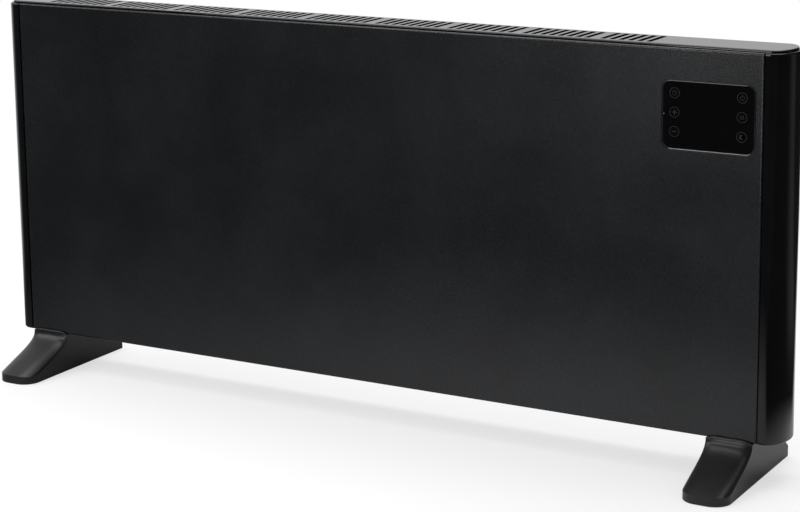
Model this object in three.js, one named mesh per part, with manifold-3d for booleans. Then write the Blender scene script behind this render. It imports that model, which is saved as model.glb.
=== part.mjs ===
// A free-standing wall panel convector heater, in millimetres, +Z up, front towards -Y.
// The origin is on the floor, under the middle of the rectangle that holds the whole heater.
import * as THREE from 'three';
import { mergeGeometries, mergeVertices } from 'three/addons/utils/BufferGeometryUtils.js';
import Module from 'manifold-3d';

const wasm = await Module();
wasm.setup();

// ---------------------------------------------------------------- driving dimensions
const CLEARANCE = 0.3; // between two pieces that seat on each other
const RUNNING = 0.1; // between a pin and the bore that it turns in
const SHEET = 1; // steel sheet of the panels

const PANEL_WIDTH = 955; // front panel, seam to seam
const PANEL_HEIGHT = 410; // front panel, bottom edge to top bend
const BODY_DEPTH = 64; // front face to rear face
const PANEL_EDGE_RADIUS = 2.2; // rolled outer edge of both panels
const TOP_FLANGE = 8; // how far the panels fold in at the top
const BOTTOM_FLANGE = 14; // how far they fold in at the bottom
const SIDE_FLANGE = 5; // how far they fold in at the sides

const SEAM_GAP = 0.9; // shadow gap between a panel and an end cap
const END_FACETS = 16; // straight stretches that make up the curved end
const CAP_FLAT = 5; // flat strip of the end cap beside the seam
const CAP_BULGE = 21; // reach of the curved end beyond that strip
const CAP_WALL = 2.8;
const CAP_EDGE_RADIUS = 2.2; // rounded shoulder and lower edge
const CAP_RIM = 8; // width of the rim that stiffens the open side
const TONGUE_REACH = 12; // how far the tongues reach in behind the panels
const TONGUE_INSET = 14; // tongue ends, from the panel's top and bottom edges
const TONGUE = 2; // thickness of a tongue

const PLATE_INSET = 3.5; // top grille, set in from the outline of the body
const PLATE_THICKNESS = 2.5;
const PLATE_EDGE_RADIUS = 0.6;
const SLOT_WIDTH = 6.2;
const SLOT_LENGTH = 44;
const SLOT_PITCH = 10.45;
const SLOTS_PER_GROUP = 8;
const GROUP_PITCH = 91.2;
const FIRST_SLOT_INSET = 42.5; // first slot, from the left seam
const SKIRT_DEPTH = 7; // locating skirt below the grille
const SKIRT = 1.5; // thickness of the skirt and cross ribs

const ELECTRONICS_WIDTH = 122; // compartment at the right end, without slots above it

const FOOT_HEIGHT = 46; // floor to the lower edge of the panels
const FOOT_WIDTH = 52;
const FOOT_INSET = 3.5; // outer side of a foot, in from the seam
const FOOT_FRONT_REACH = 79; // toe, ahead of the front face
const FOOT_REAR_REACH = 44.5; // heel, behind the rear face
const TOE_HEIGHT = 9.5;
const TOE_CORNER = 19; // how far the toe falls back at its sides
const TOE_SQUARE = 0.5; // share of the width over which the toe is straight
const HEEL_HEIGHT = 14.5;
const HEEL_RADIUS = 4;
const HEEL_ARC = Math.PI / 2.6; // how far the heel is rounded
const LIP_HEIGHT = 3; // rolled lip, above the panel's lower edge
const LIP_REACH = 3.6; // rolled lip, ahead of the front face
const LIP_ROUND = 2.2; // height of the lip's rounded top
const SLOPE_CROWN = 2.4; // rise of the slope from its sides to its middle
const SLOPE_STEEP = 15; // height of the steep stretch below the lip
const SLOPE_FLARE = 14; // how far the slope bulges above its toe edge
const FOOT_ROOF = 6; // material left above the screw wells
const SOLE_LIFT = 0.5; // sole above the floor, so that the pads carry
const PAD_RADIUS = 8;
const PAD_THICKNESS = 2.4;
const PAD_INSET = 17; // pad centre, from toe and heel

const CONTROL_WIDTH = 102.5; // opening in the front panel
const CONTROL_HEIGHT = 74;
const CONTROL_CORNER = 8.5;
const CONTROL_FROM_SEAM = 8.3;
const CONTROL_FROM_TOP = 32.5;
const GROOVE = 1.5; // shadow groove round the glass
const GLASS_THICKNESS = 3.2;
const GLASS_PROUD = 0.3;
const GLASS_BEVEL = 0.8;
const BEZEL_LAP = 3; // bezel hidden behind the panel, all round
const BEZEL_DEPTH = 6;
const LEDGE = 3; // ledge that the glass rests on
const HOUSING_DEPTH = 18;
const HOUSING_WALL = 2;
const CABLE_PORT = { width: 16, height: 8 };
const BOARD = 1.6; // circuit board thickness
const BOARD_SETBACK = 6; // board, behind the glass
const KEY_RADIUS = 5;
const KEY_PITCH = 20.2;
const KEY_COLUMNS = 73.5;
const KEY_RISE = 2.5; // key field, above the middle of the glass
const DISPLAY_WIDTH = 48;
const DISPLAY_HEIGHT = 40;

const ELEMENT_HEIGHT = 75; // element axis, above the panel's lower edge
const ELEMENT_HUB = 7;
const ELEMENT_SPREAD = 21; // half width of the fins
const ELEMENT_RISE = 30; // half height of the fins
const FIN = 1.6;
const FIN_PITCH = 8.4;
const TUBE_RADIUS = 4;
const TUBE_OVERHANG = 22; // tube beyond the fins, each end
const INSULATOR_RADIUS = 10;
const INSULATOR_NECK = 7.5; // radius of the bush where it passes through its bracket
const INSULATOR_LENGTH = 12;
const BRACKET_FOOT = 14;
const ELEMENT_END_GAP = 36; // left bracket, from the left seam
const SHIELD_SETBACK = 6; // heat shield, behind the front panel
const SHIELD_HEIGHT = 330;
const SHIELD_FOLD = 3; // how far its top and bottom folds reach forward
const CUTOUT_RADIUS = 8;
const CUTOUT_DEPTH = 7;
const CUTOUT_BOSS_RADIUS = 5;
const CUTOUT_BOSS_DEPTH = 12;

const SCREW_RADIUS = 2;
const SCREW_HEAD_RADIUS = 3.8;
const SCREW_HEAD = 2.4;
const SCREW_RECESS = { depth: 1.2, length: 4.2, width: 0.9 };
const SCREW_WELL_RADIUS = 4.8;
const FOOT_SCREW_BITE = 3; // screw beyond the intake grille
const FOOT_SCREW_SPREAD = 20; // between a foot's two screws
const REAR_SCREW_INSET = 6; // rear screws, in from the seam
const REAR_SCREW_RISE = 34; // rear screws, from the top and bottom edges
const REAR_SCREW_LENGTH = 10;
const BOSS_RADIUS = 4;

const KEYHOLE_INSET = 55.5; // wall keyholes, in from the ends of the duct and its mirror image
const KEYHOLE_FROM_TOP = 62;
const KEYHOLE_RADIUS = 5.5;
const KEYHOLE_SLOT = 5.5; // width of the narrow end
const KEYHOLE_RISE = 12;
const HANGER_WIDTH = 46;
const HANGER_HEIGHT = 40;
const HANGER_SHEET = 1.5;
const HANGER_CORNER = 4;

const VENT_WIDTH = 6;
const VENT_LENGTH = 26;
const VENT_PITCH = 16;
const REAR_VENT_LENGTH = 44;
const REAR_VENT_RISE = 22;
const REAR_VENT_ROWS = 2;
const REAR_VENT_PITCH = 22;

const SWITCH_WIDTH = 15;
const SWITCH_HEIGHT = 21;
const SWITCH_DEPTH = 16;
const SWITCH_CORNER = 1; // corner radius of its opening
const SWITCH_FLANGE = 2;
const SWITCH_LAP = 2; // flange beyond the opening
const SWITCH_WALL = 2.5;
const SWITCH_WELL = 9; // depth of the well that the rocker turns in
const SWITCH_FROM_SEAM = 40;
const SWITCH_RISE = 60; // switch axis, above the panel's lower edge
const ROCKER_TILT = 9; // degrees each side of level
const ROCKER_DEPTH = 3.5; // rocker axis, inside the outer face of the switch flange
const ROCKER_PROUD = 1.6; // raised end of the rocker, above the flange
const ROCKER_DIP = 0.4; // middle of the rocker, below the flange
const ROCKER_KEEL = { depth: 2.4, reach: 3.4 };
const ROCKER_ROUND = 1;
const AXLE_RADIUS = 1.2;
const AXLE_STUB = 1;
const GLAND_FROM_SEAM = 78;
const GLAND_RISE = 22;
const GLAND_RADIUS = 9;
const GLAND_BORE = 4.4;
const GLAND_STEP = 2; // collar beyond the hole in the panel
const GLAND_INSIDE = 8;
const GLAND_COLLAR = 3;
const GLAND_NOSE = 12;
const GLAND_NOSE_WALL = 1.6;

const TILT_WIDTH = 18;
const TILT_DEPTH = 34;
const TILT_HEIGHT = 36;
const TILT_WALL = 2;
const TILT_LIP = 3; // height of the lip that plugs the cover into the housing
const PIVOT_DROP = 8; // pivot pin, below the top of the housing
const TILT_FROM_SEAM = 78;
const PIN_RADIUS = 1.5;
const EYE_RADIUS = 3;
const EYE_WIDTH = 4;
const ARM = { width: 2, depth: 3 };
const PENDULUM_RADIUS = 5;
const PENDULUM_WIDTH = 8;
const PENDULUM_LENGTH = 22;

const WIRE_RADIUS = 1.6;
const WIRE_PITCH = 12;

const HOLDER = { width: 16, depth: 14, height: 9, mouth: 4.4 };
const SENSOR_RADIUS = 3;
const SENSOR_LENGTH = 18;
const SENSOR_RISE = 5.2;

// ---------------------------------------------------------------- places worked out from them
const FOOT_DEPTH = FOOT_FRONT_REACH + BODY_DEPTH + FOOT_REAR_REACH;
const FACE_Y = FOOT_FRONT_REACH - FOOT_DEPTH / 2;
const SEAM = PANEL_WIDTH / 2;
const CAP_REACH = CAP_FLAT + CAP_BULGE;
const MID_DEPTH = BODY_DEPTH / 2;
const DUCT_END = SEAM - ELECTRONICS_WIDTH;
const FLOOR_TOP = SHEET + CLEARANCE + SHEET; // upper face of the intake grille
const FLOOR_SEAT = FLOOR_TOP + CLEARANCE; // what stands on the intake grille starts here
const REAR_INSIDE = BODY_DEPTH - SHEET; // inner face of the rear panel
const ALONG = { x: [[0, 1, 0], [0, 0, 1], [1, 0, 0]], y: [[1, 0, 0], [0, 0, 1], [0, -1, 0]] };

// ---------------------------------------------------------------- solids
function solid(geometry) {
  const bare = geometry.index ? geometry.clone() : mergeVertices(geometry);
  bare.deleteAttribute('normal');
  bare.deleteAttribute('uv');
  const welded = mergeVertices(bare, 1e-4);
  const vertProperties = new Float32Array(welded.attributes.position.array);
  const triVerts = new Uint32Array(welded.index.array);
  return new wasm.Manifold(new wasm.Mesh({ numProp: 3, vertProperties, triVerts }));
}

function join(first, ...rest) {
  return rest.reduce((sum, next) => sum.add(next), first);
}

function cut(first, ...tools) {
  return tools.reduce((left, tool) => left.subtract(tool), first);
}

function geometryOf(body) {
  const { vertProperties, triVerts } = body.getMesh();
  const geometry = new THREE.BufferGeometry();
  geometry.setAttribute('position', new THREE.BufferAttribute(vertProperties, 3));
  geometry.setIndex(new THREE.BufferAttribute(triVerts, 1));
  geometry.computeVertexNormals();
  return geometry;
}

// A prism whose outline lies across an axis: (y, z) for x, (x, z) for y and (x, y) for z.
function prismGeometry(axis, outline, from, to, edge = null) {
  const bevel = edge ?? { radius: 0, segments: 0 };
  const geometry = new THREE.ExtrudeGeometry(outline, {
    depth: to - from - 2 * bevel.radius,
    bevelEnabled: bevel.radius > 0,
    bevelThickness: bevel.radius,
    bevelSize: bevel.radius,
    bevelOffset: -bevel.radius,
    bevelSegments: bevel.segments,
    curveSegments: bevel.curve ?? 12,
  });
  geometry.translate(0, 0, from + bevel.radius);
  if (axis === 'y') {
    geometry.translate(0, 0, -from - to);
  }
  if (axis !== 'z') {
    const columns = ALONG[axis].map((column) => new THREE.Vector3(...column));
    geometry.applyMatrix4(new THREE.Matrix4().makeBasis(...columns));
  }
  return geometry;
}

function prism(axis, outline, from, to, edge = null) {
  return solid(prismGeometry(axis, outline, from, to, edge));
}

function rectangle(left, low, right, high) {
  const corners = [[left, low], [right, low], [right, high], [left, high]];
  return new THREE.Shape(corners.map(([a, b]) => new THREE.Vector2(a, b)));
}

function roundedRectangle(width, height, radius, x = 0, y = 0) {
  const shape = new THREE.Shape();
  const right = x + width / 2 - radius;
  const left = x - width / 2 + radius;
  const high = y + height / 2 - radius;
  const low = y - height / 2 + radius;
  shape.absarc(right, low, radius, -Math.PI / 2, 0);
  shape.absarc(right, high, radius, 0, Math.PI / 2);
  shape.absarc(left, high, radius, Math.PI / 2, Math.PI);
  shape.absarc(left, low, radius, Math.PI, 1.5 * Math.PI);
  shape.closePath();
  return shape;
}

function disc(radius, x = 0, y = 0) {
  return new THREE.Shape().absarc(x, y, radius, 0, 2 * Math.PI);
}

function box(low, high) {
  const size = high.map((value, i) => value - low[i]);
  const geometry = new THREE.BoxGeometry(...size);
  geometry.translate(...low.map((value, i) => value + size[i] / 2));
  return solid(geometry);
}

function rod(axis, radius, from, to, a = 0, b = 0, segments = 16) {
  return prism(axis, disc(radius, a, b), from, to, { radius: 0, segments: 0, curve: segments / 2 });
}

// Many prisms that stand apart, made as one cutting tool.
function pattern(axis, outlines, from, to, curve = 3) {
  const edge = { radius: 0, segments: 0, curve };
  return solid(mergeGeometries(outlines.map((outline) => prismGeometry(axis, outline, from, to, edge))));
}

// A skin through equal outlines of (y, z) points, each at its own x.
function loftAlongX(sections) {
  const count = sections[0].outline.length;
  const positions = sections.flatMap(({ x, outline }) => outline.flatMap((p) => [x, p.x, p.y]));
  const index = [];
  for (let s = 0; s + 1 < sections.length; s += 1) {
    for (let i = 0; i < count; i += 1) {
      const a = s * count + i;
      const b = s * count + ((i + 1) % count);
      index.push(a, b, b + count, a, b + count, a + count);
    }
  }
  const last = (sections.length - 1) * count;
  for (const [a, b, c] of THREE.ShapeUtils.triangulateShape(sections[0].outline, [])) {
    index.push(a, c, b);
  }
  for (const [a, b, c] of THREE.ShapeUtils.triangulateShape(sections.at(-1).outline, [])) {
    index.push(last + a, last + b, last + c);
  }
  const geometry = new THREE.BufferGeometry();
  geometry.setAttribute('position', new THREE.Float32BufferAttribute(positions, 3));
  geometry.setIndex(index);
  return solid(geometry);
}

// ---------------------------------------------------------------- finishes
const FINISHES = {
  powderCoat: { color: 0x26282b, roughness: 0.55, metalness: 0.15 },
  glossPlastic: { color: 0x111214, roughness: 0.12, metalness: 0 },
  satinPlastic: { color: 0x1d1e20, roughness: 0.4, metalness: 0 },
  rubber: { color: 0x18181a, roughness: 0.85, metalness: 0 },
  blackGlass: { color: 0x050607, roughness: 0.05, metalness: 0 },
  steel: { color: 0xb4b8bc, roughness: 0.35, metalness: 0.9 },
  aluminium: { color: 0xc3c6c9, roughness: 0.4, metalness: 0.9 },
  ceramic: { color: 0xe6e2d8, roughness: 0.6, metalness: 0 },
  board: { color: 0x1f5a34, roughness: 0.5, metalness: 0 },
  palePlastic: { color: 0xd9d9d4, roughness: 0.5, metalness: 0 },
};

function piece(name, body, finish, position = [0, 0, 0]) {
  const mesh = new THREE.Mesh(geometryOf(body), new THREE.MeshStandardMaterial(FINISHES[finish]));
  mesh.name = name;
  mesh.position.set(...position);
  return mesh;
}

function group(position, ...children) {
  const node = new THREE.Group();
  node.position.set(...position);
  node.add(...children);
  return node;
}

// ---------------------------------------------------------------- casing
// Frame of the casing: x from the middle, y from the front face, z from the panels' lower edge.

// A sheet tray with a rolled outer edge, its face at y = 0 and its flanges towards +y.
function panelTray() {
  const deepest = Math.max(TOP_FLANGE, BOTTOM_FLANGE, SIDE_FLANGE);
  const edge = { radius: PANEL_EDGE_RADIUS, segments: 3 };
  const spare = 2 * PANEL_EDGE_RADIUS;
  const outer = prism('y', rectangle(-SEAM, 0, SEAM, PANEL_HEIGHT), 0, deepest + spare, edge);
  const inside = rectangle(-SEAM + SHEET, SHEET, SEAM - SHEET, PANEL_HEIGHT - SHEET);
  const innerEdge = { radius: PANEL_EDGE_RADIUS - SHEET, segments: 3 };
  const hollow = prism('y', inside, SHEET, deepest + 2 * spare, innerEdge);
  const beyond = deepest + 3 * spare;
  const corner = BOTTOM_FLANGE - SHEET;
  return cut(
    outer,
    hollow,
    box([-SEAM - 1, BOTTOM_FLANGE, -1], [SEAM + 1, beyond, corner]),
    box([-SEAM - 1, SIDE_FLANGE, PANEL_EDGE_RADIUS], [SEAM + 1, beyond, PANEL_HEIGHT - TOP_FLANGE]),
    box([-SEAM - 1, TOP_FLANGE, corner], [SEAM + 1, beyond, PANEL_HEIGHT + 1]),
  );
}

function controlCentre() {
  return {
    x: SEAM - CONTROL_FROM_SEAM - CONTROL_WIDTH / 2,
    z: PANEL_HEIGHT - CONTROL_FROM_TOP - CONTROL_HEIGHT / 2,
  };
}

function frontPanel() {
  const { x, z } = controlCentre();
  const opening = roundedRectangle(CONTROL_WIDTH, CONTROL_HEIGHT, CONTROL_CORNER, x, z);
  return cut(panelTray(), prism('y', opening, -1, SHEET + 1, { radius: 0, segments: 0, curve: 6 }));
}

function keyhole(x, z) {
  const neck = KEYHOLE_SLOT / 2;
  const shape = new THREE.Shape();
  const shoulder = Math.asin(neck / KEYHOLE_RADIUS);
  shape.absarc(x, z, KEYHOLE_RADIUS, Math.PI / 2 + shoulder, 2.5 * Math.PI - shoulder);
  shape.absarc(x, z + KEYHOLE_RISE, neck, 0, Math.PI);
  shape.closePath();
  return shape;
}

const keyholeX = (side) => side * (DUCT_END - KEYHOLE_INSET);
const KEYHOLE_Z = PANEL_HEIGHT - KEYHOLE_FROM_TOP - KEYHOLE_RISE;

// Vertical intake slots low on the rear panel, seen from the front.
function rearVents() {
  const first = -SEAM + ELEMENT_END_GAP + BRACKET_FOOT;
  const count = Math.floor((DUCT_END - first - BRACKET_FOOT) / REAR_VENT_PITCH);
  const outlines = [];
  for (let row = 0; row < REAR_VENT_ROWS; row += 1) {
    const low = REAR_VENT_RISE + row * (REAR_VENT_LENGTH + REAR_VENT_PITCH);
    for (let i = 0; i < count; i += 1) {
      const x = first + (i + 0.5) * REAR_VENT_PITCH;
      outlines.push(rectangle(x - VENT_WIDTH / 2, low, x + VENT_WIDTH / 2, low + REAR_VENT_LENGTH));
    }
  }
  return outlines;
}

const SWITCH_X = SEAM - SWITCH_FROM_SEAM;
const GLAND_X = SEAM - GLAND_FROM_SEAM;

function rearScrewPlaces() {
  const x = SEAM - REAR_SCREW_INSET;
  const heights = [REAR_SCREW_RISE, PANEL_HEIGHT - REAR_SCREW_RISE];
  return heights.flatMap((z) => [{ x: -x, z }, { x, z }]);
}

// Built as a tray that faces forward, then turned about so that its face is the rear of the heater.
function rearPanel() {
  const tray = geometryOf(panelTray());
  tray.rotateZ(Math.PI);
  tray.translate(0, BODY_DEPTH, 0);
  const from = BODY_DEPTH - SHEET - 1;
  const to = BODY_DEPTH + 1;
  const switchHole = roundedRectangle(
    SWITCH_WIDTH + 2 * CLEARANCE,
    SWITCH_HEIGHT + 2 * CLEARANCE,
    SWITCH_CORNER,
    SWITCH_X,
    SWITCH_RISE,
  );
  const screwHoles = rearScrewPlaces().map(({ x, z }) => disc(SCREW_RADIUS + CLEARANCE, x, z));
  const holes = [keyhole(keyholeX(-1), KEYHOLE_Z), keyhole(keyholeX(1), KEYHOLE_Z), switchHole];
  const glandHole = disc(GLAND_RADIUS - GLAND_STEP + CLEARANCE, GLAND_X, GLAND_RISE);
  return cut(
    solid(tray),
    pattern('y', rearVents(), from, to),
    pattern('y', [...holes, glandHole, ...screwHoles], from, to, 6),
  );
}

// Outline of one end, from the seam outwards, shrunk all round by an inset.
function endOutline(side, inset, start) {
  const shape = new THREE.Shape();
  const points = [new THREE.Vector2(start, inset)];
  const curve = new THREE.EllipseCurve(
    CAP_FLAT,
    MID_DEPTH,
    CAP_BULGE - inset,
    MID_DEPTH - inset,
    -Math.PI / 2,
    Math.PI / 2,
  );
  points.push(...curve.getPoints(END_FACETS));
  points.push(new THREE.Vector2(start, BODY_DEPTH - inset));
  shape.setFromPoints(points.map((p) => new THREE.Vector2(side * (SEAM + p.x), p.y)));
  return shape;
}

// A moulded end: a curved shell with a floor, a rim at its open side, tongues and screw bosses.
function endCap(side) {
  const edge = { radius: CAP_EDGE_RADIUS, segments: 3 };
  const spare = 2 * CAP_EDGE_RADIUS;
  const bulk = prism('z', endOutline(side, 0, -spare), 0, PANEL_HEIGHT, edge);
  const across = (a, b) => [Math.min(side * a, side * b), Math.max(side * a, side * b)];
  const slab = (a, b, low, high) => {
    const [left, right] = across(SEAM + a, SEAM + b);
    return box([left, low[0], low[1]], [right, high[0], high[1]]);
  };
  const trimmed = cut(bulk, slab(-2 * spare, SEAM_GAP, [-1, -1], [BODY_DEPTH + 1, PANEL_HEIGHT + 1]));
  const rimBack = SEAM_GAP + CAP_WALL;
  const hollow = prism('z', endOutline(side, CAP_WALL, rimBack), CAP_WALL, PANEL_HEIGHT - CAP_WALL);
  const opening = prism('z', endOutline(side, CAP_RIM, 0), CAP_WALL, PANEL_HEIGHT + 1);
  const mouth = slab(0, rimBack + 1, [CAP_RIM, CAP_WALL], [BODY_DEPTH - CAP_RIM, PANEL_HEIGHT + 1]);
  const top = PANEL_HEIGHT - TONGUE_INSET;
  const front = SIDE_FLANGE + CLEARANCE;
  const rear = BODY_DEPTH - front;
  const belowControls = PANEL_HEIGHT - CONTROL_FROM_TOP - CONTROL_HEIGHT - BEZEL_LAP - CLEARANCE;
  const frontTongue = slab(-TONGUE_REACH, rimBack, [front, TONGUE_INSET], [front + TONGUE, belowControls]);
  const rearTongue = slab(-TONGUE_REACH, rimBack, [rear - TONGUE, TONGUE_INSET], [rear, top]);
  const screws = rearScrewPlaces().filter(({ x }) => x * side > 0);
  const bossEnd = REAR_INSIDE - CLEARANCE;
  const bosses = screws.map(({ x, z }) => rod('y', BOSS_RADIUS, rear - TONGUE, bossEnd, x, z));
  const bore = SCREW_RADIUS + CLEARANCE;
  const bores = screws.map(({ x, z }) => rod('y', bore, rear - TONGUE - 1, bossEnd + 1, x, z));
  return cut(join(cut(trimmed, hollow, opening, mouth), frontTongue, rearTongue, ...bosses), ...bores);
}

// Places of the outlet slots: equal groups that run from the left end to the electronics compartment.
function outletSlots() {
  const places = [];
  const first = -SEAM + FIRST_SLOT_INSET;
  for (let start = first; start < DUCT_END; start += GROUP_PITCH) {
    for (let i = 0; i < SLOTS_PER_GROUP; i += 1) {
      places.push(start + i * SLOT_PITCH);
    }
  }
  return places.filter((x) => x + SLOT_WIDTH < DUCT_END);
}

function crossRibs() {
  const places = [];
  const span = (SLOTS_PER_GROUP - 1) * SLOT_PITCH;
  const first = -SEAM + FIRST_SLOT_INSET + (span + GROUP_PITCH) / 2;
  for (let x = first; x < DUCT_END - SLOT_PITCH; x += GROUP_PITCH) {
    places.push(x);
  }
  return places;
}

// The grille is a long plate with curved ends, its slots cut through and a skirt that drops
// between the folded edges of the two panels.
function topGrille() {
  const under = PANEL_HEIGHT + CLEARANCE;
  const upper = under + PLATE_THICKNESS;
  const bulge = CAP_REACH - PLATE_INSET;
  const half = MID_DEPTH - PLATE_INSET;
  const straight = SEAM + CAP_FLAT;
  const outline = new THREE.Shape();
  const quarter = Math.PI / 2;
  outline.absellipse(straight, MID_DEPTH, bulge - CAP_FLAT, half, -quarter, quarter, false, 0);
  outline.absellipse(-straight, MID_DEPTH, bulge - CAP_FLAT, half, quarter, 3 * quarter, false, 0);
  outline.closePath();
  const edge = { radius: PLATE_EDGE_RADIUS, segments: 1, curve: END_FACETS / 2 };
  const plate = prism('z', outline, under, upper, edge);
  const skirtFront = TOP_FLANGE + CLEARANCE;
  const skirtRear = BODY_DEPTH - skirtFront;
  const end = SEAM - TONGUE_REACH - CLEARANCE;
  const low = under - SKIRT_DEPTH;
  const ribs = crossRibs().map((x) =>
    box([x - SKIRT / 2, skirtFront, low], [x + SKIRT / 2, skirtRear, under + 1]),
  );
  const skirts = [
    box([-end, skirtFront, low], [end, skirtFront + SKIRT, under + 1]),
    box([-end, skirtRear - SKIRT, low], [end, skirtRear, under + 1]),
  ];
  const slotHalf = [SLOT_WIDTH / 2, SLOT_LENGTH / 2];
  const slots = outletSlots().map((x) =>
    rectangle(x - slotHalf[0], MID_DEPTH - slotHalf[1], x + slotHalf[0], MID_DEPTH + slotHalf[1]),
  );
  return cut(join(plate, ...skirts, ...ribs), pattern('z', slots, low - 1, upper + 1, 1));
}

function footScrewPlaces(side) {
  const x = side * (SEAM - FOOT_INSET - FOOT_WIDTH / 2);
  return [-1, 1].map((end) => ({ x, y: MID_DEPTH + (end * FOOT_SCREW_SPREAD) / 2 }));
}

// The intake grille closes the casing below and carries the element, the sensor and the feet.
function intakeGrille() {
  const end = SEAM - SHEET - CLEARANCE;
  const low = SHEET + CLEARANCE;
  const margin = PANEL_EDGE_RADIUS + CLEARANCE;
  const plate = box([-end, margin, low], [end, BODY_DEPTH - margin, FLOOR_TOP]);
  const first = -SEAM + ELEMENT_END_GAP + BRACKET_FOOT + VENT_PITCH;
  const count = Math.floor((DUCT_END - BRACKET_FOOT - VENT_PITCH - first) / VENT_PITCH);
  const vents = [];
  for (let i = 0; i <= count; i += 1) {
    const x = first + i * VENT_PITCH;
    const reach = VENT_LENGTH / 2;
    vents.push(rectangle(x - VENT_WIDTH / 2, MID_DEPTH - reach, x + VENT_WIDTH / 2, MID_DEPTH + reach));
  }
  const screws = [...footScrewPlaces(-1), ...footScrewPlaces(1)];
  const holes = screws.map(({ x, y }) => disc(SCREW_RADIUS + CLEARANCE, x, y));
  const onGrille = vents.filter((shape) => shape.getPoints()[0].x > footScrewPlaces(-1)[0].x + PAD_RADIUS);
  return cut(plate, pattern('z', onGrille, 0, 2 * FLOOR_TOP), pattern('z', holes, 0, 2 * FLOOR_TOP, 6));
}

function partitionPlate() {
  const low = FLOOR_SEAT;
  const high = PANEL_HEIGHT - SHEET - SKIRT_DEPTH - CLEARANCE;
  const front = SHEET + CLEARANCE;
  const rear = REAR_INSIDE - CLEARANCE;
  const wall = box([DUCT_END, front, low], [DUCT_END + SHEET, rear, high]);
  const foot = box([DUCT_END, front, low], [DUCT_END + BRACKET_FOOT, rear, low + SHEET]);
  const way = WIRE_RADIUS + 2 * CLEARANCE;
  const wires = [1, 2].map((i) =>
    rod('x', way, DUCT_END - 1, DUCT_END + SHEET + 1, rear - WIRE_PITCH / 2, low + i * WIRE_PITCH),
  );
  return cut(join(wall, foot), ...wires);
}

function hangerPlate(side) {
  const x = keyholeX(side);
  const z = KEYHOLE_Z + KEYHOLE_RISE / 2;
  const rear = REAR_INSIDE - CLEARANCE;
  const outline = roundedRectangle(HANGER_WIDTH, HANGER_HEIGHT, HANGER_CORNER, x, z);
  const plate = prism('y', outline, rear - HANGER_SHEET, rear, { radius: 0, segments: 0, curve: 2 });
  const hole = keyhole(x, KEYHOLE_Z);
  const bore = prism('y', hole, rear - 2 * HANGER_SHEET, rear + 1, { radius: 0, segments: 0, curve: 6 });
  return cut(plate, bore);
}

function casing() {
  const parts = [
    piece('front_panel', frontPanel(), 'powderCoat'),
    piece('rear_panel', rearPanel(), 'powderCoat'),
    piece('top_grille', topGrille(), 'glossPlastic'),
    piece('intake_grille', intakeGrille(), 'powderCoat'),
    piece('left_end_cap', endCap(-1), 'glossPlastic'),
    piece('right_end_cap', endCap(1), 'glossPlastic'),
    piece('partition_plate', partitionPlate(), 'steel'),
    piece('left_hanger_plate', hangerPlate(-1), 'steel'),
    piece('right_hanger_plate', hangerPlate(1), 'steel'),
  ];
  return group([0, 0, 0], ...parts);
}

// ---------------------------------------------------------------- control unit
// Frame: x and z from the middle of the glass, y from the front face of the panel.
const glassRear = GLASS_THICKNESS - GLASS_PROUD;
const boardFront = glassRear + BOARD_SETBACK;
const bezelRear = SHEET + CLEARANCE + BEZEL_DEPTH;

function glassOutline(margin) {
  const width = CONTROL_WIDTH - 2 * GROOVE + 2 * margin;
  const height = CONTROL_HEIGHT - 2 * GROOVE + 2 * margin;
  return roundedRectangle(width, height, CONTROL_CORNER - GROOVE + margin);
}

function controlGlass() {
  const edge = { radius: GLASS_BEVEL, segments: 1, curve: 4 };
  return prism('y', glassOutline(0), -GLASS_PROUD, glassRear, edge);
}

function controlBezel() {
  const front = SHEET + CLEARANCE;
  const lap = BEZEL_LAP + GROOVE;
  const plain = { radius: 0, segments: 0, curve: 4 };
  const block = prism('y', glassOutline(lap), front, bezelRear, plain);
  const seat = prism('y', glassOutline(CLEARANCE), front - 1, glassRear + CLEARANCE, plain);
  const window = prism('y', glassOutline(-LEDGE), front - 1, bezelRear + 1, plain);
  return cut(block, seat, window);
}

function controlHousing() {
  const plain = { radius: 0, segments: 0, curve: 3 };
  const front = bezelRear + CLEARANCE;
  const rear = front + HOUSING_DEPTH;
  const block = prism('y', glassOutline(BEZEL_LAP), front, rear, plain);
  const hollow = prism('y', glassOutline(BEZEL_LAP - HOUSING_WALL), front - 1, rear - HOUSING_WALL, plain);
  const shelf = glassOutline(-2 * HOUSING_WALL);
  const ledgeFront = boardFront + BOARD + CLEARANCE;
  const ledge = prism('y', glassOutline(BEZEL_LAP - 1), ledgeFront, ledgeFront + HOUSING_WALL, plain);
  const ring = cut(ledge, prism('y', shelf, ledgeFront - 1, rear, plain));
  const half = [CABLE_PORT.width / 2, CABLE_PORT.height / 2];
  const port = box([-half[0], rear - HOUSING_WALL - 1, -half[1]], [half[0], rear + 1, half[1]]);
  return cut(join(cut(block, hollow), ring), port);
}

function controlBoard() {
  const outline = glassOutline(BEZEL_LAP - HOUSING_WALL - CLEARANCE - 1);
  return prism('y', outline, boardFront, boardFront + BOARD, { radius: 0, segments: 0, curve: 3 });
}

function displayModule() {
  const rear = boardFront - CLEARANCE;
  const half = [DISPLAY_WIDTH / 2, DISPLAY_HEIGHT / 2];
  return box([-half[0], glassRear + CLEARANCE, -half[1]], [half[0], rear, half[1]]);
}

function touchPads() {
  const pad = rod('y', KEY_RADIUS, glassRear + CLEARANCE, boardFront - CLEARANCE, 0, 0, 16);
  const columns = [['left', -1], ['right', 1]];
  return columns.flatMap(([column, side]) =>
    [1, 0, -1].map((row, i) =>
      piece(`${column}_touch_pad_${i + 1}`, pad, 'rubber', [
        (side * KEY_COLUMNS) / 2,
        0,
        KEY_RISE + row * KEY_PITCH,
      ]),
    ),
  );
}

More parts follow.
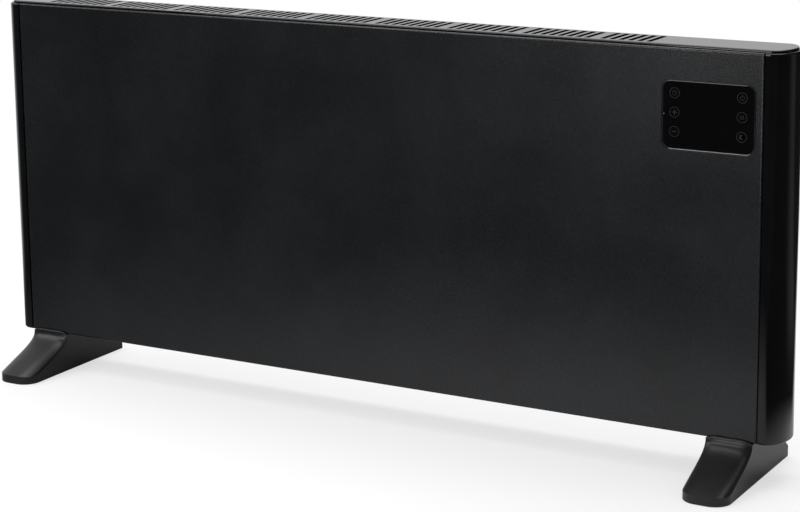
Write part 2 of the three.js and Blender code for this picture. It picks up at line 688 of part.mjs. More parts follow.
function controlUnit() {
  const { x, z } = controlCentre();
  return group(
    [x, 0, z],
    piece('control_glass', controlGlass(), 'blackGlass'),
    piece('control_bezel', controlBezel(), 'glossPlastic'),
    piece('control_housing', controlHousing(), 'satinPlastic'),
    piece('control_board', controlBoard(), 'board'),
    piece('display_module', displayModule(), 'satinPlastic', [0, 0, KEY_RISE]),
    ...touchPads(),
  );
}

// ---------------------------------------------------------------- power electronics
// Frame: x and z from the middle of the tray, y from the front face of the panel.
const TRAY_WIDTH = 84;
const TRAY_HEIGHT = 110;
const TRAY_WALL = 2;
const TRAY_RIM = 6;
const TRAY_RISE = 170; // middle of the tray, above the panel's lower edge
const POST_RADIUS = 3;
const POST_INSET = 9;
const RELAY_SIZE = { width: 29, depth: 16, height: 13 };
const BLOCK_SIZE = { width: 50, depth: 14, height: 16 };
const trayRear = REAR_INSIDE - CLEARANCE;
const trayFloor = trayRear - TRAY_WALL;
const powerBoardRear = trayFloor - TRAY_RIM;
const powerBoardFront = powerBoardRear - BOARD;

function trayPosts(radius, from, to) {
  const x = TRAY_WIDTH / 2 - POST_INSET;
  const z = TRAY_HEIGHT / 2 - POST_INSET;
  const corners = [[-x, -z], [x, -z], [x, z], [-x, z]];
  return corners.map(([a, b]) => rod('y', radius, from, to, a, b, 12));
}

function electronicsTray() {
  const half = [TRAY_WIDTH / 2, TRAY_HEIGHT / 2];
  const front = trayFloor - TRAY_RIM;
  const block = box([-half[0], front, -half[1]], [half[0], trayRear, half[1]]);
  const inner = half.map((value) => value - TRAY_WALL);
  const hollow = box([-inner[0], front - 1, -inner[1]], [inner[0], trayFloor, inner[1]]);
  return join(cut(block, hollow), ...trayPosts(POST_RADIUS, front + CLEARANCE, trayRear - TRAY_WALL / 2));
}

function powerBoard() {
  const half = [TRAY_WIDTH / 2 - TRAY_WALL, TRAY_HEIGHT / 2 - TRAY_WALL].map((v) => v - CLEARANCE);
  return box([-half[0], powerBoardFront, -half[1]], [half[0], powerBoardRear, half[1]]);
}

function relay() {
  const { width, depth, height } = RELAY_SIZE;
  const rear = powerBoardFront - CLEARANCE;
  return box([-width / 2, rear - depth, 0], [width / 2, rear, height]);
}

// A row of cable ways separated by fins.
function terminalBlock() {
  const { width, depth, height } = BLOCK_SIZE;
  const rear = powerBoardFront - CLEARANCE;
  const ways = 4;
  const fin = 2;
  const pitch = (width - fin) / ways;
  const cells = [];
  for (let i = 0; i < ways; i += 1) {
    const x = -width / 2 + fin + i * pitch;
    cells.push(box([x, rear - depth - 1, -1], [x + pitch - fin, rear - depth / 2, height - fin]));
  }
  return cut(box([-width / 2, rear - depth, 0], [width / 2, rear, height]), ...cells);
}

function powerElectronics() {
  const x = (DUCT_END + SHEET + SEAM) / 2;
  return group(
    [x, 0, TRAY_RISE],
    piece('electronics_tray', electronicsTray(), 'palePlastic'),
    piece('power_board', powerBoard(), 'board'),
    piece('relay', relay(), 'satinPlastic', [0, 0, TRAY_HEIGHT / 4 - RELAY_SIZE.height / 2]),
    piece('terminal_block', terminalBlock(), 'palePlastic', [0, 0, -TRAY_HEIGHT / 2 + POST_INSET]),
  );
}

// ---------------------------------------------------------------- heating unit
// Frame: x from the middle of the element, y from its axis, z from its axis.
const LEFT_BRACKET = -SEAM + ELEMENT_END_GAP;
const RIGHT_BRACKET = DUCT_END - ELEMENT_END_GAP / 2;
const TUBE_HALF = (RIGHT_BRACKET - LEFT_BRACKET) / 2 + INSULATOR_LENGTH;
const FINS_HALF = TUBE_HALF - TUBE_OVERHANG;
const AXIS_TO_SEAT = ELEMENT_HEIGHT - FLOOR_SEAT;

// A comb of level fins on an upright web, mirrored up and down from one quarter.
function finOutline() {
  const count = Math.floor((ELEMENT_RISE - ELEMENT_HUB) / FIN_PITCH) + 1;
  const half = FIN / 2;
  const side = [];
  for (let i = 0; i < count; i += 1) {
    const z = ELEMENT_HUB - half + i * FIN_PITCH;
    side.push([half, z - half], [ELEMENT_SPREAD, z - half]);
    side.push([ELEMENT_SPREAD, z + half], [half, z + half]);
  }
  const upperRight = side.map(([y, z]) => new THREE.Vector2(y, z));
  const upperLeft = side.map(([y, z]) => new THREE.Vector2(-y, z)).reverse();
  const lowerLeft = side.map(([y, z]) => new THREE.Vector2(-y, -z));
  const lowerRight = side.map(([y, z]) => new THREE.Vector2(y, -z)).reverse();
  return new THREE.Shape([...upperRight, ...upperLeft, ...lowerLeft, ...lowerRight]);
}

function elementFins() {
  const fins = prism('x', finOutline(), -FINS_HALF, FINS_HALF);
  const hub = rod('x', ELEMENT_HUB, -FINS_HALF, FINS_HALF);
  return cut(join(fins, hub), rod('x', TUBE_RADIUS + CLEARANCE, -FINS_HALF - 1, FINS_HALF + 1));
}

function elementTube() {
  const pinRadius = TUBE_RADIUS / 2;
  const body = rod('x', TUBE_RADIUS, -TUBE_HALF, TUBE_HALF);
  const pinEnd = TUBE_HALF + INSULATOR_LENGTH / 2;
  return join(body, rod('x', pinRadius, -pinEnd, pinEnd));
}

// A ceramic bush with a collar that stops it in the bracket.
function insulator(side) {
  const collar = INSULATOR_LENGTH / 3;
  const neckEnd = INSULATOR_LENGTH - collar;
  const [from, to] = side > 0 ? [-collar, neckEnd] : [-neckEnd, collar];
  const collarSpan = side > 0 ? [-collar, 0] : [0, collar];
  const body = rod('x', INSULATOR_NECK, from, to);
  const bush = join(body, rod('x', INSULATOR_RADIUS, ...collarSpan));
  return cut(bush, rod('x', TUBE_RADIUS + CLEARANCE, from - 1, to + 1));
}

function bracket(side) {
  const front = -MID_DEPTH + SHIELD_SETBACK + SHEET + 2 * CLEARANCE;
  const rear = MID_DEPTH - SHEET - CLEARANCE;
  const low = -AXIS_TO_SEAT;
  const high = ELEMENT_RISE + INSULATOR_RADIUS * 2;
  const [inner, outer] = side > 0 ? [CLEARANCE, SHEET + CLEARANCE] : [-SHEET - CLEARANCE, -CLEARANCE];
  const wall = box([inner, front, low], [outer, rear, high]);
  const foot = box(
    [Math.min(inner, inner - side * BRACKET_FOOT + side * SHEET), front, low],
    [Math.max(outer, outer - side * BRACKET_FOOT + side * SHEET), rear, low + SHEET],
  );
  const hole = rod('x', INSULATOR_NECK + CLEARANCE, inner - 1, outer + 1);
  return cut(join(wall, foot), hole);
}

// The shield stands on the intake grille and keeps the front panel cool.
function heatShield() {
  const front = -MID_DEPTH + SHIELD_SETBACK;
  const low = -AXIS_TO_SEAT;
  const left = LEFT_BRACKET - (LEFT_BRACKET + RIGHT_BRACKET) / 2;
  const sheet = box([left, front, low], [-left, front + SHEET, low + SHIELD_HEIGHT]);
  const folded = front - SHIELD_FOLD;
  const top = low + SHIELD_HEIGHT;
  const foot = box([left, folded, low], [-left, front + SHEET, low + SHEET]);
  const lip = box([left, folded, top - SHEET], [-left, front + SHEET, top]);
  return join(sheet, foot, lip);
}

// A bimetal disc thermostat held against the right bracket.
function thermalCutout() {
  const face = -CLEARANCE;
  const cup = rod('x', CUTOUT_RADIUS, face - CUTOUT_DEPTH, face);
  const boss = rod('x', CUTOUT_BOSS_RADIUS, face - CUTOUT_BOSS_DEPTH, face - CUTOUT_DEPTH / 2);
  return join(cup, boss);
}

function heatingUnit() {
  const centre = (LEFT_BRACKET + RIGHT_BRACKET) / 2;
  const reach = (RIGHT_BRACKET - LEFT_BRACKET) / 2;
  const cutoutAt = [reach + CLEARANCE, MID_DEPTH / 3, ELEMENT_RISE + INSULATOR_RADIUS];
  return group(
    [centre, MID_DEPTH, ELEMENT_HEIGHT],
    piece('element_fins', elementFins(), 'aluminium'),
    piece('element_tube', elementTube(), 'steel'),
    piece('left_element_insulator', insulator(-1), 'ceramic', [-reach, 0, 0]),
    piece('right_element_insulator', insulator(1), 'ceramic', [reach, 0, 0]),
    piece('left_element_bracket', bracket(-1), 'steel', [-reach, 0, 0]),
    piece('right_element_bracket', bracket(1), 'steel', [reach, 0, 0]),
    piece('heat_shield', heatShield(), 'aluminium'),
    piece('thermal_cutout', thermalCutout(), 'steel', cutoutAt),
  );
}

// ---------------------------------------------------------------- feet
// Frame: x from the middle of the foot, y from the front face of the panel, z from the floor.

// Side profile of a foot; u runs from -1 to 1 across its width.
function footProfile(u) {
  const corner = Math.max(0, (Math.abs(u) - TOE_SQUARE) / (1 - TOE_SQUARE));
  const toe = -FOOT_FRONT_REACH + TOE_CORNER * (1 - Math.sqrt(1 - Math.min(1, corner) ** 2));
  const crown = SLOPE_CROWN * (1 - u * u);
  const heel = BODY_DEPTH + FOOT_REAR_REACH;
  const top = FOOT_HEIGHT - CLEARANCE;
  const fall = corner ** 4;
  const lipSpring = FOOT_HEIGHT + LIP_HEIGHT * (1 - fall) - LIP_ROUND;
  const lipFront = -LIP_REACH * (1 - fall / 2);
  const toeEdge = TOE_HEIGHT + crown / 3;
  const slope = new THREE.CubicBezierCurve(
    new THREE.Vector2(lipFront, lipSpring),
    new THREE.Vector2(lipFront - 1, lipSpring + LIP_ROUND - SLOPE_STEEP),
    new THREE.Vector2((toe + lipFront) / 2, toeEdge + SLOPE_FLARE + crown),
    new THREE.Vector2(toe, toeEdge),
  );
  const lipHalf = (LIP_REACH - CLEARANCE) / 2;
  const roll = new THREE.EllipseCurve(-CLEARANCE - lipHalf, lipSpring, lipHalf, LIP_ROUND, 0, Math.PI);
  const rolled = roll.getPoints(4).map((p) => new THREE.Vector2(Math.max(p.x, lipFront), p.y));
  rolled.pop();
  const heelArc = new THREE.EllipseCurve(
    heel - HEEL_RADIUS,
    HEEL_HEIGHT - HEEL_RADIUS,
    HEEL_RADIUS,
    HEEL_RADIUS,
    0,
    HEEL_ARC,
  );
  return [
    new THREE.Vector2(toe, SOLE_LIFT),
    new THREE.Vector2(heel, SOLE_LIFT),
    ...heelArc.getPoints(3),
    new THREE.Vector2(BODY_DEPTH, top),
    new THREE.Vector2(-CLEARANCE, top),
    ...rolled,
    ...slope.getPoints(7),
  ];
}

function foot() {
  const stations = 10;
  const sections = [];
  for (let i = 0; i <= stations; i += 1) {
    const u = -Math.cos((Math.PI * i) / stations);
    sections.push({ x: (u * FOOT_WIDTH) / 2, outline: footProfile(u) });
  }
  const roof = FOOT_HEIGHT - CLEARANCE - FOOT_ROOF;
  const cuts = [];
  for (const end of [-1, 1]) {
    const y = MID_DEPTH + (end * FOOT_SCREW_SPREAD) / 2;
    cuts.push(rod('z', SCREW_WELL_RADIUS, -1, roof, 0, y, 12));
    cuts.push(rod('z', SCREW_RADIUS + CLEARANCE, roof - 1, FOOT_HEIGHT + 1, 0, y, 12));
  }
  for (const y of padPlaces()) {
    cuts.push(rod('z', PAD_RADIUS + CLEARANCE, -1, PAD_THICKNESS + CLEARANCE, 0, y, 20));
  }
  return cut(loftAlongX(sections), ...cuts);
}

function padPlaces() {
  return [-FOOT_FRONT_REACH + PAD_INSET, BODY_DEPTH + FOOT_REAR_REACH - PAD_INSET];
}

function footPad() {
  return rod('z', PAD_RADIUS, 0, PAD_THICKNESS, 0, 0, 20);
}

// A pan head screw along +z, the underside of its head at z = 0.
function screw(length) {
  const { depth, length: blade, width } = SCREW_RECESS;
  const shoulder = SCREW_HEAD / 3;
  const profile = [
    [0, -SCREW_HEAD],
    [SCREW_HEAD_RADIUS / 2, -SCREW_HEAD],
    [SCREW_HEAD_RADIUS, -shoulder],
    [SCREW_HEAD_RADIUS, 0],
    [SCREW_RADIUS, 0],
    [SCREW_RADIUS, length - SCREW_RADIUS],
    [0, length],
  ];
  const lathe = new THREE.LatheGeometry(profile.map(([r, z]) => new THREE.Vector2(r, z)), 10);
  lathe.rotateX(Math.PI / 2);
  const floor = -SCREW_HEAD + depth;
  const slots = [
    box([-blade / 2, -width / 2, -SCREW_HEAD - 1], [blade / 2, width / 2, floor]),
    box([-width / 2, -blade / 2, -SCREW_HEAD - 1], [width / 2, blade / 2, floor]),
  ];
  return cut(solid(lathe), ...slots);
}

function footGroup(name, side) {
  const x = side * (SEAM - FOOT_INSET - FOOT_WIDTH / 2);
  const seat = FOOT_HEIGHT - CLEARANCE - FOOT_ROOF - CLEARANCE;
  const length = FOOT_ROOF + FLOOR_TOP + 2 * CLEARANCE + FOOT_SCREW_BITE;
  const [toePad, heelPad] = padPlaces();
  const [front, rear] = footScrewPlaces(side).map((place) => place.y);
  return group(
    [x, FACE_Y, 0],
    piece(`${name}_foot`, foot(), 'satinPlastic'),
    piece(`${name}_toe_pad`, footPad(), 'rubber', [0, toePad, 0]),
    piece(`${name}_heel_pad`, footPad(), 'rubber', [0, heelPad, 0]),
    piece(`${name}_front_foot_screw`, screw(length), 'steel', [0, front, seat]),
    piece(`${name}_rear_foot_screw`, screw(length), 'steel', [0, rear, seat]),
  );
}

// ---------------------------------------------------------------- rear fittings
// Frame of the casing again.
function rearScrews() {
  const names = ['lower_left', 'lower_right', 'upper_left', 'upper_right'];
  return rearScrewPlaces().map(({ x, z }, i) => {
    const mesh = piece(`${names[i]}_rear_screw`, screw(REAR_SCREW_LENGTH), 'steel', [
      x,
      BODY_DEPTH + CLEARANCE,
      z,
    ]);
    mesh.rotation.x = Math.PI / 2;
    return mesh;
  });
}

const ROCKER_LENGTH = SWITCH_HEIGHT - 2 * SWITCH_WALL;
const ROCKER_WIDTH = SWITCH_WIDTH - 2 * SWITCH_WALL;

function rockerSwitch() {
  const face = BODY_DEPTH + CLEARANCE + SWITCH_FLANGE;
  const half = [SWITCH_WIDTH / 2, SWITCH_HEIGHT / 2];
  const inner = face - SWITCH_FLANGE - SWITCH_DEPTH;
  const lap = 2 * SWITCH_LAP;
  const rim = roundedRectangle(SWITCH_WIDTH + lap, SWITCH_HEIGHT + lap, SWITCH_LAP);
  const flange = prism('y', rim, face - SWITCH_FLANGE, face, { radius: 0, segments: 0, curve: 4 });
  const barrel = box([-half[0], inner, -half[1]], [half[0], face - 1, half[1]]);
  const wellWidth = ROCKER_WIDTH / 2 + CLEARANCE;
  const wellLength = ROCKER_LENGTH / 2 + 2 * CLEARANCE;
  const well = box([-wellWidth, face - SWITCH_WELL, -wellLength], [wellWidth, face + 1, wellLength]);
  const stubEnd = wellWidth + AXLE_STUB;
  const axle = rod('x', AXLE_RADIUS + RUNNING, -stubEnd, stubEnd, face - ROCKER_DEPTH, 0);
  return cut(join(flange, barrel), well, axle);
}

// The rocker's two faces meet in a shallow V; it turns on a short axle moulded at each side.
function rocker() {
  const reach = ROCKER_LENGTH / 2;
  const lift = ROCKER_DEPTH + ROCKER_PROUD;
  const lower = [
    [-ROCKER_KEEL.depth, -ROCKER_KEEL.reach],
    [0, -reach],
    [lift - ROCKER_ROUND, -reach],
    [lift, -reach + ROCKER_ROUND],
  ];
  const upper = lower.map(([y, z]) => [y, -z]).reverse();
  const outline = [...lower, [ROCKER_DEPTH - ROCKER_DIP, 0], ...upper];
  const section = new THREE.Shape(outline.map(([y, z]) => new THREE.Vector2(y, z)));
  const half = ROCKER_WIDTH / 2;
  const body = prism('x', section, -half, half);
  return join(body, rod('x', AXLE_RADIUS, -half - AXLE_STUB, half + AXLE_STUB));
}

function cordGland() {
  const neck = GLAND_RADIUS - GLAND_STEP;
  const profile = [
    [GLAND_BORE, -GLAND_INSIDE],
    [neck, -GLAND_INSIDE],
    [neck, CLEARANCE],
    [GLAND_RADIUS, CLEARANCE],
    [GLAND_RADIUS, GLAND_COLLAR],
    [GLAND_BORE + GLAND_NOSE_WALL, GLAND_NOSE],
    [GLAND_BORE, GLAND_NOSE],
    [GLAND_BORE, -GLAND_INSIDE],
  ];
  const lathe = new THREE.LatheGeometry(profile.map(([r, y]) => new THREE.Vector2(r, y)), 20);
  lathe.translate(0, BODY_DEPTH, 0);
  return solid(lathe);
}

function rearFittings() {
  const rockerMesh = piece('power_rocker', rocker(), 'satinPlastic', [
    SWITCH_X,
    BODY_DEPTH + CLEARANCE + SWITCH_FLANGE - ROCKER_DEPTH,
    SWITCH_RISE,
  ]);
  rockerMesh.rotation.x = (ROCKER_TILT * Math.PI) / 180;
  return group(
    [0, 0, 0],
    piece('power_switch_body', rockerSwitch(), 'satinPlastic', [SWITCH_X, 0, SWITCH_RISE]),
    rockerMesh,
    piece('cord_gland', cordGland(), 'rubber', [GLAND_X, 0, GLAND_RISE]),
    ...rearScrews(),
  );
}

// ---------------------------------------------------------------- sensing
// Frame: on the intake grille, x and y from the middle of the piece.
function sensorHolder() {
  const half = [HOLDER.width / 2, HOLDER.depth / 2];
  const block = box([-half[0], -half[1], 0], [half[0], half[1], HOLDER.height]);
  const way = rod('y', SENSOR_RADIUS + CLEARANCE, -half[1] - 1, half[1] + 1, 0, SENSOR_RISE);
  const mouth = [HOLDER.mouth / 2, half[1] + 1, HOLDER.height + 1];
  return cut(block, way, box([-mouth[0], -mouth[1], SENSOR_RISE], mouth));
}

function temperatureSensor() {
  const end = SENSOR_LENGTH / 2;
  const tip = new THREE.SphereGeometry(SENSOR_RADIUS, 16, 8);
  tip.translate(0, -end, SENSOR_RISE);
  return join(rod('y', SENSOR_RADIUS, -end, end, 0, SENSOR_RISE), solid(tip));
}

const PIVOT_RISE = TILT_HEIGHT - PIVOT_DROP;

function tiltHousing() {
  const half = [TILT_WIDTH / 2, TILT_DEPTH / 2];
  const block = box([-half[0], -half[1], 0], [half[0], half[1], TILT_HEIGHT]);
  const inner = half.map((value) => value - TILT_WALL);
  const hollow = box([-half[0] - 1, -inner[1], TILT_WALL], [inner[0], inner[1], TILT_HEIGHT - TILT_WALL]);
  const socket = rod('x', PIN_RADIUS + RUNNING, inner[0] - 1, inner[0] + TILT_WALL / 2, 0, PIVOT_RISE);
  return cut(block, hollow, socket);
}

// The cover closes the open side, plugs in with a lip and carries the other end of the pin.
function tiltCover() {
  const half = [TILT_WIDTH / 2, TILT_DEPTH / 2];
  const inner = half[0] - TILT_WALL;
  const face = half[0] + CLEARANCE;
  const plate = box([-face - TILT_WALL, -half[1], 0], [-face, half[1], TILT_HEIGHT]);
  const spread = half[1] - TILT_WALL - CLEARANCE;
  const rise = TILT_HEIGHT - TILT_WALL - CLEARANCE;
  const root = -face - TILT_WALL / 2;
  const lip = box([root, -spread, rise - TILT_LIP], [-inner, spread, rise]);
  const boss = rod('x', EYE_RADIUS, root, -inner, 0, PIVOT_RISE);
  const socket = rod('x', PIN_RADIUS + RUNNING, -face - RUNNING, 0, 0, PIVOT_RISE);
  return cut(join(plate, lip, boss), socket);
}

function tiltPin() {
  const inner = TILT_WIDTH / 2 - TILT_WALL;
  return rod('x', PIN_RADIUS, -inner - TILT_WALL, inner + TILT_WALL / 2 - RUNNING);
}

// A bob on a flat arm, with an eye for the pin.
function tiltPendulum() {
  const drop = PENDULUM_LENGTH - PENDULUM_RADIUS;
  const half = [ARM.width / 2, ARM.depth / 2];
  const eye = rod('x', EYE_RADIUS, -EYE_WIDTH / 2, EYE_WIDTH / 2);
  const arm = box([-half[0], -half[1], -drop], [half[0], half[1], -PIN_RADIUS]);
  const bob = rod('x', PENDULUM_RADIUS, -PENDULUM_WIDTH / 2, PENDULUM_WIDTH / 2, 0, -drop);
  const bore = rod('x', PIN_RADIUS + RUNNING, -EYE_WIDTH, EYE_WIDTH);
  return cut(join(eye, arm, bob), bore);
}

function sensing() {
  const tiltX = SEAM - TILT_FROM_SEAM - TILT_WIDTH / 2;
  return group(
    [0, MID_DEPTH, FLOOR_SEAT],
    group(
      [DUCT_END + ELECTRONICS_WIDTH / 2, 0, 0],
      piece('sensor_holder', sensorHolder(), 'palePlastic'),
      piece('air_temperature_sensor', temperatureSensor(), 'steel'),
    ),
    group(
      [tiltX, 0, 0],
      piece('tilt_switch_housing', tiltHousing(), 'palePlastic'),
      piece('tilt_switch_cover', tiltCover(), 'palePlastic'),
      piece('tilt_pivot_pin', tiltPin(), 'steel', [0, 0, PIVOT_RISE]),
      piece('tilt_pendulum', tiltPendulum(), 'steel', [0, 0, PIVOT_RISE]),
    ),
  );
}

// ---------------------------------------------------------------- the heater
const heater = new THREE.Group();
heater.add(
  group([0, FACE_Y, FOOT_HEIGHT], casing(), controlUnit(), powerElectronics(), heatingUnit()),
  group([0, FACE_Y, FOOT_HEIGHT], rearFittings(), sensing()),
  footGroup('left', -1),
  footGroup('right', 1),
);

export default heater;
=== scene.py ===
"""Looks of a slim wall panel convector heater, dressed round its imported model."""
import logging
import math
from collections.abc import Iterable, Sequence
from dataclasses import dataclass, field
from enum import Enum

import bmesh
import bpy
from mathutils import Matrix, Vector


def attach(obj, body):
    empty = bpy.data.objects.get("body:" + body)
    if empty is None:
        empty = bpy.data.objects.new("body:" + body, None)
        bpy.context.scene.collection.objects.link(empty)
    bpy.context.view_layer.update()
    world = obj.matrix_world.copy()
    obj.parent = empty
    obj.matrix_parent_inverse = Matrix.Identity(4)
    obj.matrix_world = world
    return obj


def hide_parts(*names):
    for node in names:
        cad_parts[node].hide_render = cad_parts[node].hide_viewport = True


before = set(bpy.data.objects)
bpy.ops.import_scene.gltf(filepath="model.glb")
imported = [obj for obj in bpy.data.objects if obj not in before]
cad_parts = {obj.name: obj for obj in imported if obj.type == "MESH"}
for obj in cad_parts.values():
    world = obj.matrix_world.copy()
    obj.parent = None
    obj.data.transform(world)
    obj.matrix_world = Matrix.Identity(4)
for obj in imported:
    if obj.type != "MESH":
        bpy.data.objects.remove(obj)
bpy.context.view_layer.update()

LOG = logging.getLogger("heater")

# The heater's shapes are in millimetres. Textures, the studio and the camera are in metres.
MM = 0.001
FRONT_FACE_Y = -14.75
FOOT_HEIGHT = 46.0
CASING_DEPTH = 64.0
CLEARANCE = 0.3
SPARE = 1.0  # how far a cutter passes the face that it cuts
CASING_ORIGIN = Vector((0.0, FRONT_FACE_Y, FOOT_HEIGHT))
FLOOR_ORIGIN = Vector((0.0, FRONT_FACE_Y, 0.0))

Point = tuple[float, float]
Place = tuple[float, float, float]
Colour = tuple[float, float, float]


# ---------------------------------------------------------------- shader graphs
class Operation(Enum):
    """Math node operations that the expressions use."""

    ADD = "ADD"
    SUBTRACT = "SUBTRACT"
    MULTIPLY = "MULTIPLY"
    DIVIDE = "DIVIDE"
    MAXIMUM = "MAXIMUM"
    ABSOLUTE = "ABSOLUTE"


@dataclass(frozen=True)
class Number:
    """A number socket that adds Math nodes when it stands in an expression."""

    graph: "Graph"
    socket: bpy.types.NodeSocket

    def _with(self, operation: Operation, *values: "Number | float") -> "Number":
        """Adds one Math node, with its operands in order."""
        node = self.graph.node("ShaderNodeMath", {"operation": operation.value}, dict(enumerate(values)))
        return Number(self.graph, node.outputs[0])

    def __add__(self, other: "Number | float") -> "Number":
        """Sum."""
        return self._with(Operation.ADD, self, other)

    __radd__ = __add__

    def __mul__(self, other: "Number | float") -> "Number":
        """Product."""
        return self._with(Operation.MULTIPLY, self, other)

    __rmul__ = __mul__

    def __sub__(self, other: "Number | float") -> "Number":
        """Difference."""
        return self._with(Operation.SUBTRACT, self, other)

    def __rsub__(self, other: float) -> "Number":
        """Reflected difference."""
        return self._with(Operation.SUBTRACT, other, self)

    def __truediv__(self, other: "Number | float") -> "Number":
        """Quotient."""
        return self._with(Operation.DIVIDE, self, other)

    def __abs__(self) -> "Number":
        """Size without sign."""
        return self._with(Operation.ABSOLUTE, self)

    def at_least(self, other: "Number | float") -> "Number":
        """Larger of two."""
        return self._with(Operation.MAXIMUM, self, other)

    def step(self, low: float, high: float) -> "Number":
        """Rises smoothly from 0 to 1.

        Args:
            low: Value at which the result leaves 0.
            high: Value at which the result reaches 1.

        Returns:
            The smooth step.
        """
        node = self.graph.node(
            "ShaderNodeMapRange",
            {"interpolation_type": "SMOOTHSTEP"},
            {"Value": self, "From Min": low, "From Max": high},
        )
        return Number(self.graph, node.outputs["Result"])


class Graph:
    """A material's or world's node tree with its output already placed."""

    NOISE_ROUGHNESS = 0.6

    def __init__(self, tree: bpy.types.NodeTree, output: str) -> None:
        """Empties the tree.

        Args:
            tree: The tree to fill.
            output: The type of its output node.
        """
        self.tree = tree
        tree.nodes.clear()
        self.output = tree.nodes.new(output)

    def node(
        self,
        kind: str,
        settings: dict[str, object] | None = None,
        inputs: dict[str | int, object] | None = None,
    ) -> bpy.types.Node:
        """Adds one node.

        Args:
            kind: The node's type.
            settings: Its properties, set before its sockets; "stops" fills a colour ramp.
            inputs: Values or links by socket name or place.

        Returns:
            The new node.
        """
        node = self.tree.nodes.new(kind)
        for name, value in (settings or {}).items():
            if name == "stops":
                self._stops(node.color_ramp, value)
            else:
                setattr(node, name, value)
        for name, value in (inputs or {}).items():
            self.feed(node.inputs[name], value)
        return node

    def feed(self, socket: bpy.types.NodeSocket, value: object) -> None:
        """Links or sets one input.

        Args:
            socket: The input.
            value: A Number, a socket or a constant.
        """
        if isinstance(value, Number):
            value = value.socket
        if isinstance(value, bpy.types.NodeSocket):
            self.tree.links.new(value, socket)
        elif isinstance(value, tuple) and len(value) == 3 and socket.type == "RGBA":
            socket.default_value = (*value, 1.0)
        else:
            socket.default_value = value

    @staticmethod
    def _stops(ramp: bpy.types.ColorRamp, stops: Sequence[Point]) -> None:
        """Sets a grey ramp.

        Args:
            ramp: The ramp.
            stops: Places and grey levels.
        """
        while len(ramp.elements) < len(stops):
            ramp.elements.new(0.5)
        for element, (place, level) in zip(ramp.elements, stops):
            element.position = place
            element.color = (level, level, level, 1.0)

    def place(self) -> bpy.types.NodeSocket:
        """Position on the object, in metres."""
        return self.node("ShaderNodeTexCoord").outputs["Object"]

    def parts(self, vector: bpy.types.NodeSocket) -> tuple[Number, Number, Number]:
        """Splits a vector into its three numbers."""
        node = self.node("ShaderNodeSeparateXYZ", inputs={0: vector})
        return tuple(Number(self, node.outputs[i]) for i in range(3))

    def stretched(self, vector: bpy.types.NodeSocket, scale: Place) -> bpy.types.NodeSocket:
        """Scales a position along the three axes, before it reaches a texture."""
        node = self.node("ShaderNodeMapping", inputs={"Vector": vector, "Scale": scale})
        return node.outputs["Vector"]

    def noise(self, vector: bpy.types.NodeSocket, scale: float, detail: float = 2.0) -> Number:
        """Noise between 0 and 1.

        Args:
            vector: Where it is read.
            scale: Waves per metre.
            detail: Octaves.

        Returns:
            The noise.
        """
        node = self.node(
            "ShaderNodeTexNoise",
            inputs={"Vector": vector, "Scale": scale, "Detail": detail, "Roughness": self.NOISE_ROUGHNESS},
        )
        return Number(self, node.outputs["Fac"])

    def blend(self, factor: Number | float, first: object, second: object) -> bpy.types.NodeSocket:
        """Mixes two colours or colour sockets: a factor of 0 is the first, 1 the second."""
        node = self.node("ShaderNodeMix", {"data_type": "RGBA"}, {0: factor, 6: first, 7: second})
        return node.outputs[2]

    def bump(self, height: Number, distance: float, strength: float) -> bpy.types.NodeSocket:
        """Turns a height into a normal.

        Args:
            height: The height, from 0 to 1.
            distance: How deep 1 is, in metres.
            strength: How much of it shows.

        Returns:
            The normal.
        """
        node = self.node(
            "ShaderNodeBump", inputs={"Height": height, "Distance": distance, "Strength": strength}
        )
        return node.outputs["Normal"]


# ---------------------------------------------------------------- finishes
@dataclass(frozen=True)
class Finish:
    """What every finish has: a colour, a roughness and a reflectance."""

    name: str
    colour: Colour
    roughness: float
    reflectance: float = 0.5
    metallic: float = 0.0

    def material(self) -> bpy.types.Material:
        """Makes the finish once and keeps it.

        Returns:
            The material.
        """
        made = bpy.data.materials.get(f"finish_{self.name}")
        if made is not None:
            return made
        made = bpy.data.materials.new(f"finish_{self.name}")
        made.use_nodes = True
        made.diffuse_color = (*self.colour, 1.0)
        graph = Graph(made.node_tree, "ShaderNodeOutputMaterial")
        shader = graph.node("ShaderNodeBsdfPrincipled")
        shader.inputs["Specular IOR Level"].default_value = self.reflectance
        shader.inputs["Metallic"].default_value = self.metallic
        self.dress(graph, shader)
        graph.feed(graph.output.inputs["Surface"], shader.outputs["BSDF"])
        return made

    def tinted(self, factor: float, lift: float = 0.0) -> Colour:
        """The finish's colour times a factor, plus a lift."""
        return tuple(factor * channel + lift for channel in self.colour)

    def dress(self, graph: Graph, shader: bpy.types.Node) -> None:
        """Feeds the shader. Each kind of finish does it in its own way."""
        raise NotImplementedError


